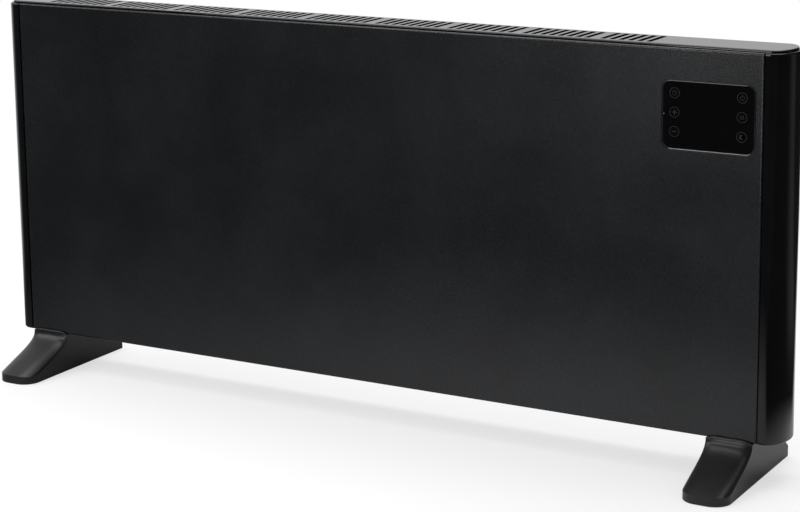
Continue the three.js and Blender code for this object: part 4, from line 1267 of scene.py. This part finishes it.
# ---------------------------------------------------------------- control unit
class Symbol(Enum):
    """What a touch key shows inside its ring."""

    CLOCK = "clock"
    PLUS = "plus"
    MINUS = "minus"
    POWER = "power"
    WARMTH = "warmth"
    MOON = "moon"


@dataclass(frozen=True)
class SymbolSizes:
    """Sizes of the symbols. The weights of their lines are shares of the ring's line."""

    thin: float = 0.8
    wavy: float = 0.9
    bold: float = 1.7
    plus_arm: float = 3.0
    minus_arm: float = 2.8
    power_radius: float = 2.3
    power_turn: Point = (125.0, 415.0)
    power_stem: Point = (0.3, 3.1)
    clock_radius: float = 2.6
    minute_hand: Point = (-0.2, 1.7)
    hour_hand: Point = (0.2, 1.4)
    moon_radius: float = 2.5
    moon_turn: Point = (50.0, 310.0)
    bite_place: float = 1.5
    bite_radius: float = 2.08
    bite_turn: Point = (293.0, 67.0)
    wave_places: Place = (-1.7, 0.0, 1.7)
    wave_sway: float = 0.45
    wave_reach: float = 2.2
    wave_steps: int = 12


@dataclass
class ControlUnit:
    """Printed glass in the panel's opening. Frame: the middle of the glass, y from the panel's face."""

    shop: Workshop
    opening: Opening = Opening()
    symbols: SymbolSizes = SymbolSizes()
    thickness: float = 3.2
    proud: float = 0.3
    bevel: float = 0.32
    slope: float = 26.0
    edge: float = 0.1
    edge_drop: float = 0.15
    rear_bevel: float = 0.3
    trim_gap: float = 0.1
    trim_width: float = 0.72
    trim_front: float = -0.05
    trim_foot: float = 1.15
    trim_edge: float = 0.1
    trim_round: float = 0.06
    ring: float = 5.3
    line: float = 0.5
    column: float = 36.75
    rise: float = 2.5
    pitch: float = 20.2
    ink: float = 0.03
    lamp_radius: float = 0.42
    lamp_proud: float = 0.05
    lamp_foot: float = 0.1
    lamp_inset: float = 1.3
    lamp_rise: float = 0.4

    @property
    def origin(self) -> Vector:
        """Where the glass's frame stands."""
        return CASING_ORIGIN + Vector((self.opening.centre[0], 0.0, self.opening.centre[1]))

    @property
    def size(self) -> Point:
        """The glass's width and height."""
        return grown_by(self.opening.size, -self.opening.groove)

    @property
    def printed(self) -> Point:
        """Where the print starts and ends in y."""
        return -self.proud - self.ink, -self.proud + self.ink

    def _loops(self, rows: Sequence[Point]) -> list[list[Vector]]:
        """The glass's outline at several depths.

        Args:
            rows: Pairs of depth and how far the outline is grown there.

        Returns:
            One loop for each row.
        """
        loops = []
        for y, grown in rows:
            corner = self.opening.corner - self.opening.groove + grown
            outline = rounded(grown_by(self.size, grown), corner, count=16)
            loops.append([Vector((x, y, z)) for x, z in outline])
        return loops

    def glass(self) -> None:
        """The glass with polished edges."""
        front, back = -self.proud, self.thickness - self.proud
        fall = self.bevel * math.tan(math.radians(self.slope))
        rows = [(front, -self.bevel - self.edge), (front + fall, -self.edge)]
        rows += [(front + fall + self.edge_drop, 0.0)]
        rows += [(back - self.rear_bevel, 0.0), (back, -self.rear_bevel)]
        pane = Solid.loft(self._loops(rows))
        self.shop.piece(
            "control_glass_pane", pane, Finishes.BLACK_GLASS, "black_glass", self.origin,
            replaces=["control_glass"], crease=20.0,
        )

    def trim(self) -> None:
        """A gloss ring in the groove round the glass, its face sloping in towards the glass; its lighter
        grey is painted highlight.
        """
        inner, outer = self.trim_gap, self.trim_gap + self.trim_width
        front, foot, soft = self.trim_front, self.trim_foot, self.trim_round
        run = self.trim_width - self.trim_edge - soft
        dip = front + soft + run * math.tan(math.radians(self.slope))
        rows = [(foot, inner), (dip, inner), (dip - soft, inner + soft)]
        rows += [(front, outer - self.trim_edge), (front + soft, outer), (foot, outer)]
        trim = Solid.hoop(self._loops(rows))
        # The ring's lighter grey is painted highlight, added to the lamp's real highlight on its sloping
        # face.
        self.shop.piece("control_trim", trim, Finishes.TRIM, "gloss_plastic", self.origin, crease=15.0)

    def stroke(self, points: Sequence[Point], width: float) -> Solid:
        """A printed line of even width.

        Args:
            points: The line.
            width: Its width.

        Returns:
            The print.
        """
        left, right = [], []
        for i, point in enumerate(points):
            before = Vector(points[max(i - 1, 0)])
            after = Vector(points[min(i + 1, len(points) - 1)])
            along = (after - before).normalized()
            across = Vector((-along.y, along.x)) * width / 2
            left.append((point[0] + across.x, point[1] + across.y))
            right.append((point[0] - across.x, point[1] - across.y))
        return Solid.prism(Axis.Y, [*right, *reversed(left)], *self.printed)

    def band(self, radius: float, width: float, start: float = 0.0, end: float = 360.0) -> Solid:
        """A printed arc or a whole ring.

        Args:
            radius: Its middle radius.
            width: Its width.
            start: First angle in degrees.
            end: Last angle in degrees.

        Returns:
            The print.
        """
        if end - start < 360:
            return self.stroke(arc((0, 0), (radius, radius), start, end, 32), width)
        front, back = self.printed
        return Solid.turned(Axis.Y, rectangle(radius - width / 2, front, radius + width / 2, back), count=64)

    def mark(self, symbol: Symbol) -> list[Solid]:
        """The strokes of one symbol.

        Args:
            symbol: Which one.

        Returns:
            Its printed lines.
        """
        sizes, line = self.symbols, self.line
        thin, bold = sizes.thin * line, sizes.bold * line
        if symbol is Symbol.PLUS:
            arm, half = sizes.plus_arm, bold / 2
            bars = ([(-arm, 0), (arm, 0)], [(0, -arm), (0, -half)], [(0, half), (0, arm)])
            return [self.stroke(bar, bold) for bar in bars]
        if symbol is Symbol.MINUS:
            return [self.stroke([(-sizes.minus_arm, 0), (sizes.minus_arm, 0)], 2 * thin)]
        if symbol is Symbol.POWER:
            stem = self.stroke([(0, z) for z in sizes.power_stem], line)
            return [self.band(sizes.power_radius, line, *sizes.power_turn), stem]
        if symbol is Symbol.CLOCK:
            hands = ([(0, z) for z in sizes.minute_hand], [(x, 0) for x in sizes.hour_hand])
            return [self.band(sizes.clock_radius, thin), *(self.stroke(hand, thin) for hand in hands)]
        if symbol is Symbol.MOON:
            moon, bite = sizes.moon_radius, sizes.bite_radius
            outer = arc((0, 0), (moon, moon), *sizes.moon_turn, 28)
            inner = arc((sizes.bite_place, 0), (bite, bite), *sizes.bite_turn, 24)
            return [Solid.prism(Axis.Y, [*outer, *inner], *self.printed)]
        shares = [t / sizes.wave_steps for t in range(sizes.wave_steps + 1)]
        sway, reach = sizes.wave_sway, sizes.wave_reach
        waves = []
        for x in sizes.wave_places:
            wave = [(x + sway * math.sin(math.tau * t), reach * (2 * t - 1)) for t in shares]
            waves.append(self.stroke(wave, sizes.wavy * line))
        return waves

    def legend(self) -> None:
        """Rings and symbols of the six touch keys, and the small lamp window at the edge."""
        keys = {
            Side.LEFT: (Symbol.CLOCK, Symbol.PLUS, Symbol.MINUS),
            Side.RIGHT: (Symbol.POWER, Symbol.WARMTH, Symbol.MOON),
        }
        for side, symbols in keys.items():
            for row, symbol in zip((1, 0, -1), symbols):
                prints = Solid.together([self.band(self.ring, self.line), *self.mark(symbol)])
                centre = self.origin + Vector((side.value * self.column, 0.0, self.rise + row * self.pitch))
                self.shop.piece(f"key_{symbol.value}", prints, Finishes.LEGEND, "black_glass", centre)
        front = -self.proud - self.lamp_proud
        foot = self.lamp_foot
        profile = [(0.0, front), (self.lamp_radius, front), (self.lamp_radius, foot), (0.0, foot)]
        spot = self.origin + Vector((-self.size[0] / 2 + self.lamp_inset, 0.0, self.lamp_rise))
        self.shop.piece("lamp_window", Solid.turned(Axis.Y, profile), Finishes.LAMP, "black_glass", spot)

    def build(self) -> None:
        """Makes and dresses the control unit."""
        self.glass()
        self.trim()
        self.legend()
        for node in ("control_bezel", "control_housing", "display_module"):
            self.shop.dress(node, Finishes.SATIN_PLASTIC)
        self.shop.dress("control_board", Finishes.LAMINATE)
        for side in Side:
            for place in (1, 2, 3):
                self.shop.dress(f"{side.label}_touch_pad_{place}", Finishes.RUBBER)


# ---------------------------------------------------------------- feet
@dataclass
class Foot:
    """One splayed foot. Frame: x from its middle, y from the panel's face, z from the floor."""

    shop: Workshop
    side: Side
    middle: float = 448.0
    width: float = 52.0
    height: float = FOOT_HEIGHT
    depth: float = CASING_DEPTH
    front_reach: float = 79.0
    rear_reach: float = 44.5
    toe: float = 9.5
    toe_corner: float = 19.0
    toe_square: float = 0.25
    heel: float = 14.5
    heel_radius: float = 4.0
    heel_turn: float = 180 / 2.6
    lip: float = 3.0
    lip_reach: float = 3.6
    lip_round: float = 2.2
    crown: float = 2.4
    steep: float = 15.0
    flare: float = 14.0
    edge: float = 1.0
    sole: float = 0.5
    stations: int = 44
    roof: float = 6.0
    screw_spread: float = 20.0
    screw_length: float = 11.9
    head_room: float = 1.0
    pad_inset: float = 17.0
    pad_radius: float = 8.0
    pad_thickness: float = 2.4
    pad_round: Point = (0.17, 0.6)

    @property
    def origin(self) -> Vector:
        """Where the foot's frame stands."""
        return FLOOR_ORIGIN + Vector((self.side.value * self.middle, 0.0, 0.0))

    def profile(self, u: float) -> list[Point]:
        """Side profile of the foot.

        Args:
            u: Place across the foot, from -1 to 1.

        Returns:
            Points (y, z).
        """
        corner = max(0.0, (abs(u) - self.toe_square) / (1 - self.toe_square))
        toe = -self.front_reach + self.toe_corner * (1 - math.sqrt(max(0.0, 1 - corner**2)))
        crown = self.crown * (1 - u * u)
        heel = self.depth + self.rear_reach
        top = self.height - CLEARANCE
        fall = corner**4
        spring = self.height + self.lip * (1 - fall) - self.lip_round
        front = -self.lip_reach * (1 - fall / 2)
        edge = self.toe + crown / 3
        slope = cubic(
            (front, spring),
            (front - 1, spring + self.lip_round - self.steep),
            ((toe + front) / 2, edge + self.flare + crown),
            (toe, edge),
        )
        half = (self.lip_reach - CLEARANCE) / 2
        roll = arc((-CLEARANCE - half, spring), (half, self.lip_round), 0, 180, 28)[:-1]
        roll = [(max(y, front), z) for y, z in roll]
        radius = self.heel_radius
        back = arc((heel - radius, self.heel - radius), (radius, radius), 0, self.heel_turn, 8)
        under = [(toe, self.sole), (heel, self.sole)]
        return [*under, *back, (self.depth, top), (-CLEARANCE, top), *roll, *slope]

    def pads(self) -> Point:
        """Places of the two pads."""
        return -self.front_reach + self.pad_inset, self.depth + self.rear_reach - self.pad_inset

    def screws(self) -> Point:
        """Places of the two screws."""
        return (self.depth - self.screw_spread) / 2, (self.depth + self.screw_spread) / 2

    def shell(self) -> None:
        """The moulded foot with eased side edges."""
        loops = []
        for i in range(self.stations + 1):
            u = -math.cos(math.pi * i / self.stations)
            loops.append([Vector((u * self.width / 2, y, z)) for y, z in self.profile(u)])
        roof, above = self.height - CLEARANCE - self.roof, self.height + SPARE
        wide, slim = PanHeadScrew.head + self.head_room, PanHeadScrew.shank + CLEARANCE
        well = [(0, -SPARE), (wide, -SPARE), (wide, roof), (slim, roof), (slim, above), (0, above)]
        radius, deep = self.pad_radius + CLEARANCE, self.pad_thickness + CLEARANCE
        seat = [(0, -SPARE), (radius, -SPARE), (radius, deep), (0, deep)]
        tools = [Solid.turned(Axis.Z, well, (0.0, y), 32) for y in self.screws()]
        tools += [Solid.turned(Axis.Z, seat, (0.0, y), 40) for y in self.pads()]
        body = Solid.loft(loops).eased(self.edge, 50.0, 4).minus(Solid.together(tools))
        name = f"{self.side.label}_foot"
        self.shop.piece(
            f"{name}_shell", body, Finishes.SATIN_PLASTIC, "satin_plastic", self.origin,
            replaces=[name], crease=38.0,
        )

    def build(self) -> None:
        """Makes the foot, its pads and its screws."""
        self.shell()
        radius, high = self.pad_radius, self.pad_thickness
        near, soft = self.pad_round
        profile = [(0, 0), (radius - soft, 0), (radius - near, near), (radius, soft)]
        profile += [(radius, high), (0, high)]
        for end, y in zip(("toe", "heel"), self.pads()):
            name = f"{self.side.label}_{end}_pad"
            pad = Solid.turned(Axis.Z, profile, (0.0, y))
            self.shop.piece(f"{name}_round", pad, Finishes.RUBBER, "rubber", self.origin, replaces=[name])
        seat = self.height - 2 * CLEARANCE - self.roof
        screw = PanHeadScrew(self.screw_length).solid()
        for end, y in zip(("front", "rear"), self.screws()):
            name = f"{self.side.label}_{end}_foot_screw"
            place = self.origin + Vector((0.0, y, seat))
            self.shop.piece(f"{name}_turned", screw, Finishes.STEEL, "bright_steel", place, replaces=[name])


# ---------------------------------------------------------------- rear fittings
@dataclass(frozen=True)
class CordGland:
    """A tapered, ribbed rubber gland. Frame: y from the rear face. Rims are pairs of radius and place."""

    neck: float = RearLayout.gland_radius
    bore: float = 4.4
    tail: float = 8.0
    flange: tuple[Point, ...] = ((9.0, CLEARANCE), (9.0, 2.4), (8.6, 2.9), (8.0, 3.0))
    rib: tuple[Point, ...] = ((7.4, 4.2), (7.4, 4.9), (6.85, 5.05), (6.8, 5.55))
    rib_count: int = 5
    rib_pitch: float = 1.5
    taper: float = 0.3
    tip: tuple[Point, ...] = ((6.0, 11.6), (5.7, 12.0))

    def solid(self) -> Solid:
        """The gland.

        Returns:
            Its solid.
        """
        profile = [(self.bore, -self.tail), (self.neck, -self.tail), (self.neck, CLEARANCE), *self.flange]
        for i in range(self.rib_count):
            profile += [(radius - self.taper * i, y + self.rib_pitch * i) for radius, y in self.rib]
        return Solid.turned(Axis.Y, [*profile, *self.tip, (self.bore, self.tip[-1][1])])


@dataclass
class RearFittings:
    """Rocker switch, cord gland and screws on the rear face, in the casing's frame."""

    shop: Workshop
    layout: RearLayout = RearLayout()
    face: float = CASING_DEPTH
    flange: float = 2.0
    flange_edge: float = 0.45
    barrel: float = 18.0
    well: float = 9.0
    axle_depth: float = 3.5
    axle_radius: float = 1.2
    axle_play: float = 0.1
    axle_half: float = 6.0
    rocker_half: Point = (5.0, 8.0)
    rocker_tip: Point = (5.1, 7.0)
    rocker_heel: Point = (-2.4, 3.4)
    rocker_side: float = 1.0
    rocker_dip: float = 3.1
    rocker_edge: float = 0.35
    tilt: float = 9.0
    mark_place: Point = (4.18, 3.8)
    line_half: Point = (0.35, 1.6)
    ring_radii: Point = (1.1, 1.7)
    ink: float = 0.03
    screw_length: float = 10.0

    @property
    def front(self) -> float:
        """The switch flange's outer face, in y."""
        return self.face + CLEARANCE + self.flange

    def _at(self, place: Point, y: float) -> Vector:
        """A place on the rear face."""
        return CASING_ORIGIN + Vector((place[0], y, place[1]))

    def switch_body(self) -> None:
        """The switch's frame with an eased flange and the rocker's well."""
        outer, size = self.front, self.layout.switch_size
        outline = rounded(grown_by(size, self.flange), self.flange, count=8)
        flange = Solid.prism(Axis.Y, outline, outer - self.flange, outer).eased(self.flange_edge, 60.0, 3)
        x, z = size[0] / 2, size[1] / 2
        barrel = Solid.box((-x, outer - self.barrel, -z), (x, outer - SPARE, z))
        x, z = self.rocker_half[0] + CLEARANCE, self.rocker_half[1] + 2 * CLEARANCE
        well = Solid.box((-x, outer - self.well, -z), (x, outer + SPARE, z))
        bore = circle(self.axle_radius + self.axle_play, (outer - self.axle_depth, 0.0), 24)
        reach = self.axle_half + CLEARANCE
        body = flange.plus(barrel).minus(well, Solid.prism(Axis.X, bore, -reach, reach))
        self.shop.piece(
            "power_switch_frame", body, Finishes.SATIN_PLASTIC, "satin_plastic",
            self._at(self.layout.switch, 0.0), replaces=["power_switch_body"],
        )

    def rocker(self) -> None:
        """The rocker at its rest tilt, with a line on one half and a ring on the other."""
        half, deep = self.rocker_half
        tip, reach = self.rocker_tip
        heel, low = self.rocker_heel
        lower = [(heel, -low), (0.0, -deep), (tip - self.rocker_side, -deep), (tip, -reach)]
        section = [*lower, (self.rocker_dip, 0.0), *((y, -z) for y, z in reversed(lower))]
        axle = Solid.prism(Axis.X, circle(self.axle_radius, count=24), -self.axle_half, self.axle_half)
        body = Solid.prism(Axis.X, section, -half, half).eased(self.rocker_edge, 25.0, 3).plus(axle)
        turn = Matrix.Rotation(math.radians(self.tilt), 4, "X")
        place = self._at(self.layout.switch, self.front - self.axle_depth)
        self.shop.piece(
            "power_rocker_key", body.moved(turn), Finishes.GLOSS_PLASTIC, "satin_plastic", place,
            body="rocker", replaces=["power_rocker"],
        )
        slope = math.atan2(tip - self.rocker_dip, reach)
        wide, long = self.line_half
        line = Solid.box((-wide, -self.ink, -long), (wide, self.ink, long))
        inner, outer = self.ring_radii
        ring = Solid.turned(Axis.Y, rectangle(inner, -self.ink, outer, self.ink), count=40)
        y, z = self.mark_place
        for name, mark, sign in (("rocker_line", line, 1), ("rocker_ring", ring, -1)):
            lie = Matrix.Translation((0.0, y, sign * z)) @ Matrix.Rotation(-sign * slope, 4, "X")
            printed = mark.moved(turn @ lie)
            self.shop.piece(name, printed, Finishes.WHITE_LEGEND, "satin_plastic", place, body="rocker")

    def cord_gland(self) -> None:
        """The tapered rubber gland."""
        gland, place = CordGland().solid(), self._at(self.layout.gland, self.face)
        self.shop.piece(
            "cord_gland_moulding", gland, Finishes.RUBBER, "rubber", place, replaces=["cord_gland"]
        )

    def screws(self) -> None:
        """Four pan head screws in the end caps' bosses."""
        screw = PanHeadScrew(self.screw_length).solid().moved(Matrix.Rotation(math.pi / 2, 4, "X"))
        for side in Side:
            for level, z in zip(("lower", "upper"), self.layout.screw_levels):
                name = f"{level}_{side.label}_rear_screw"
                place = self._at((side.value * self.layout.screw_x, z), self.face + CLEARANCE)
                self.shop.piece(
                    f"{name}_turned", screw, Finishes.STEEL, "bright_steel", place, replaces=[name]
                )

    def build(self) -> None:
        """Makes the fittings."""
        self.switch_body()
        self.rocker()
        self.cord_gland()
        self.screws()


# ---------------------------------------------------------------- inside
@dataclass
class Interior:
    """Heating unit, electronics and sensors: carried-over nodes in their finishes."""

    shop: Workshop

    def build(self) -> None:
        """Dresses what the slots and vents let through."""
        wanted = {
            Finishes.ALUMINIUM: ("element_fins", "heat_shield"),
            Finishes.STEEL: ("element_tube", "thermal_cutout", "air_temperature_sensor", "tilt_pivot_pin",
                             "tilt_pendulum"),
            Finishes.CERAMIC: ("left_element_insulator", "right_element_insulator"),
            Finishes.ZINC: ("left_element_bracket", "right_element_bracket"),
            Finishes.PALE_PLASTIC: ("electronics_tray", "terminal_block", "sensor_holder",
                                    "tilt_switch_housing", "tilt_switch_cover"),
            Finishes.LAMINATE: ("power_board",),
            Finishes.SATIN_PLASTIC: ("relay",),
        }
        for finish, nodes in wanted.items():
            for node in nodes:
                self.shop.dress(node, finish)


# ---------------------------------------------------------------- studio, in metres
@dataclass(frozen=True)
class Lamp:
    """One soft area lamp."""

    name: str
    place: Place
    aim: Place
    size: Point
    watts: float

    def hang(self) -> None:
        """Puts the lamp in the scene, out of the camera's sight."""
        data = bpy.data.lights.new(self.name, "AREA")
        data.shape = "RECTANGLE"
        data.size, data.size_y = self.size
        data.energy = self.watts
        thing = bpy.data.objects.new(self.name, data)
        thing.location = self.place
        thing.rotation_euler = (Vector(self.aim) - Vector(self.place)).to_track_quat("-Z", "Y").to_euler()
        thing.visible_camera = False
        bpy.context.scene.collection.objects.link(thing)


@dataclass
class Studio:
    """Pale floor, soft light and the camera.

    The floor near the heater is lit and shows in its gloss as bright pools, in front of it, behind it and
    beside it. Outside the pools the floor glows for reflections only, with painted room light and shade: a
    painted dark shade near the heater, and further off a dim room in front and a white backdrop behind.
    Above the floor, reflections see the room in the world. Each pool has a centre and the two distances
    between which it fades.
    """

    floor_size: float = 30.0
    floor_depth: float = 0.02
    floor_colour: Colour = (0.86, 0.86, 0.86)
    white: Colour = (1.0, 1.0, 1.0)
    pool_stretch: Place = (0.6, 1.0, 1.0)
    front_centre: Place = (0.15, -0.05, 0.0)
    front_pool: Point = (-0.12, 0.75)
    rear_centre: Place = (0.0, 0.1, 0.0)
    rear_pool: Point = (0.45, 1.25)
    side_centre: Place = (0.5, 0.03, 0.0)
    side_pool: Point = (0.12, 0.3)
    behind: Point = (0.05, 0.35)
    beside: Point = (0.5, 0.6)
    white_from: Point = (0.4, 0.8)
    wash: float = 0.6
    open_floor: Point = (0.7, 1.2)
    # Painted shade: how dark the floor glows in reflections near the heater, outside the pools.
    near_painted_shade: float = 0.04
    # Pairs of a share of the turn, from the front round by the right, and the light that comes from there.
    surroundings: tuple[Point, ...] = (
        (0.0, 0.05), (0.07, 0.04), (0.1, 0.07), (0.16, 0.035), (0.29, 0.05),
        (0.322, 0.22), (0.345, 0.22), (0.37, 0.04), (0.41, 0.025), (0.46, 0.03),
        (0.49, 0.16), (0.511, 0.8), (0.67, 0.8), (0.76, 0.65),
        (0.785, 0.1), (0.86, 0.045), (0.93, 0.035), (1.0, 0.05),
    )
    upward: Point = (0.45, 0.95)
    ceiling: float = 0.12
    ambient: float = 0.62
    lamps: tuple[Lamp, ...] = (
        Lamp("overhead_bank", (-0.25, 0.5, 2.6), (-0.05, 0.0, 0.2), (3.0, 1.5), 50.0),
        Lamp("front_fill", (-0.42, -2.6, 0.62), (0.5, 0.0, 0.5), (0.5, 0.5), 9.0),
        Lamp("key_bar", (-0.85, -1.6, 1.78), (-0.85, 0.0, 0.55), (1.6, 0.4), 14.0),
        Lamp("left_bank", (-1.5, -0.5, 1.25), (-0.4, -0.05, 0.1), (0.7, 0.7), 5.0),
    )
    azimuth: float = 29.827
    elevation: float = 11.038
    roll: float = -0.623
    stand: Place = (1.2217, -2.0492, 0.7782)
    focal_px: float = 2155.46
    centre_row: float = 150.0
    picture: Point = (800.0, 512.0)
    clip: Point = (0.05, 100.0)

    def room(self, graph: Graph, x: Number, y: Number) -> Number:
        """What stands round the heater: a white backdrop behind it and a dim room in front.

        Args:
            graph: The graph that asks.
            x: Direction or place to the right.
            y: Direction or place to the rear.

        Returns:
            The light that comes from there.
        """
        turn = graph.node("ShaderNodeMath", {"operation": "ARCTAN2"}, {0: x, 1: 0.0 - y})
        share = Number(graph, turn.outputs[0]) / math.tau + 1.0
        part = graph.node("ShaderNodeMath", {"operation": "FRACT"}, {0: share})
        ramp = graph.node("ShaderNodeValToRGB", {"stops": self.surroundings}, {"Fac": part.outputs[0]})
        return Number(graph, ramp.outputs["Color"])

    def away(self, graph: Graph, centre: Place, stretch: Place = (1.0, 1.0, 1.0)) -> Number:
        """Distance on the floor from a place.

        Args:
            graph: The graph that asks.
            centre: The place, after the stretch.
            stretch: Factors along the three axes.

        Returns:
            The distance in metres.
        """
        spot = graph.stretched(graph.place(), stretch)
        span = graph.node("ShaderNodeVectorMath", {"operation": "DISTANCE"}, {0: spot, 1: centre})
        return Number(graph, span.outputs["Value"])

    def painted_room_mask(self, graph: Graph, x: Number, y: Number, distance: Number) -> Number:
        """How far reflections see painted room light and shade glowing on the floor, and not the lit pools.

        Args:
            graph: The floor's graph.
            x: Place to the right.
            y: Place to the rear.
            distance: Distance from the middle of the front pool.

        Returns:
            0 in the pools, 1 outside them.
        """
        behind, beside = y.step(*self.behind), x.step(*self.beside)
        front = distance.step(*self.front_pool)
        rear = self.away(graph, self.rear_centre, self.pool_stretch).step(*self.rear_pool)
        side = self.away(graph, self.side_centre).step(*self.side_pool)
        return (front * (1.0 - behind) + rear * behind) * (1.0 - beside) + side * beside

    def floor(self) -> None:
        """A plain pale floor that turns white further off and keeps the heater's shadow. Outside the lit
        pools, reflections see it glow with painted room light and shade.
        """
        half = self.floor_size / 2
        slab = Solid.box((-half, -half, -self.floor_depth), (half, half, 0.0))
        thing = bpy.data.objects.new("studio_floor", slab.mesh)
        bpy.context.scene.collection.objects.link(thing)
        material = bpy.data.materials.new("studio_floor")
        material.use_nodes = True
        graph = Graph(material.node_tree, "ShaderNodeOutputMaterial")
        x, y, _ = graph.parts(graph.place())
        # Painted reflection level on the floor: a painted dark shade near the heater, the room's light
        # further off.
        far = self.away(graph, (0.0, 0.0, 0.0)).step(*self.open_floor)
        level = self.room(graph, x, y) * far + (1.0 - far) * self.near_painted_shade
        path = graph.node("ShaderNodeLightPath")
        distance = self.away(graph, self.front_centre, self.pool_stretch)
        washed = distance.step(*self.white_from) * (1.0 - self.wash) + self.wash
        seen = Number(graph, path.outputs["Is Camera Ray"]) * washed
        mirrored = Number(graph, path.outputs["Is Glossy Ray"]) * self.painted_room_mask(graph, x, y, distance)
        pale = graph.node("ShaderNodeBsdfDiffuse", inputs={"Color": self.floor_colour}).outputs[0]
        white = graph.node("ShaderNodeEmission", inputs={"Color": self.white}).outputs[0]
        # Emission that only reflections see outside the pools: painted room light and shade on the floor.
        painted_room_glow = graph.node("ShaderNodeEmission", inputs={"Color": level}).outputs[0]
        shown = graph.node("ShaderNodeMixShader", inputs={0: seen, 1: pale, 2: white}).outputs[0]
        mixed = graph.node("ShaderNodeMixShader", inputs={0: mirrored, 1: shown, 2: painted_room_glow})
        graph.feed(graph.output.inputs["Surface"], mixed.outputs[0])
        thing.data.materials.append(material)

    def world(self) -> None:
        """White to the eye; reflections see the room."""
        world = bpy.data.worlds.new("studio")
        world.use_nodes = True
        graph = Graph(world.node_tree, "ShaderNodeOutputWorld")
        x, y, z = graph.parts(graph.node("ShaderNodeTexCoord").outputs["Generated"])
        level = z.step(*self.upward)
        around = self.room(graph, x, y) * (1.0 - level) + level * self.ceiling
        path = graph.node("ShaderNodeLightPath")
        seen, glossy, through = (
            Number(graph, path.outputs[f"Is {kind} Ray"]) for kind in ("Camera", "Glossy", "Transmission")
        )
        mirrored = glossy.at_least(through) * (1.0 - seen)
        plain = (1.0 - seen - mirrored) * self.ambient
        strength = seen + mirrored * around + plain
        back = graph.node("ShaderNodeBackground", inputs={"Color": self.white, "Strength": strength})
        graph.feed(graph.output.inputs["Surface"], back.outputs["Background"])
        bpy.context.scene.world = world

    def camera(self) -> None:
        """The photograph's viewpoint."""
        data = bpy.data.cameras.new("camera")
        data.sensor_fit = "HORIZONTAL"
        data.lens = self.focal_px / self.picture[0] * data.sensor_width
        data.shift_y = (self.centre_row - self.picture[1] / 2) / self.picture[0]
        data.clip_start, data.clip_end = self.clip
        thing = bpy.data.objects.new("camera", data)
        bpy.context.scene.collection.objects.link(thing)
        a, e = math.radians(self.azimuth), math.radians(self.elevation)
        back = Vector((math.sin(a) * math.cos(e), -math.cos(a) * math.cos(e), math.sin(e)))
        right = (-back).cross(Vector((0.0, 0.0, 1.0))).normalized()
        up = right.cross(-back)
        lean = math.radians(self.roll)
        tilted = (
            math.cos(lean) * right + math.sin(lean) * up,
            -math.sin(lean) * right + math.cos(lean) * up,
            back,
        )
        turn = Matrix(tilted).transposed().to_4x4()
        thing.matrix_world = Matrix.Translation(self.stand) @ turn
        bpy.context.scene.camera = thing

    def build(self) -> None:
        """Sets up the studio."""
        self.floor()
        self.world()
        for lamp in self.lamps:
            lamp.hang()
        self.camera()
        bpy.context.scene.view_settings.view_transform = "Standard"


def main() -> None:
    """Builds the heater's looks in order."""
    logging.basicConfig(level=logging.INFO, format="%(message)s")
    shop = Workshop()
    Casing(shop).build()
    ControlUnit(shop).build()
    for side in Side:
        Foot(shop, side).build()
    RearFittings(shop).build()
    Interior(shop).build()
    Studio().build()
    LOG.info("%d pieces made", len(shop.made))


if __name__ == "__main__":
    main()
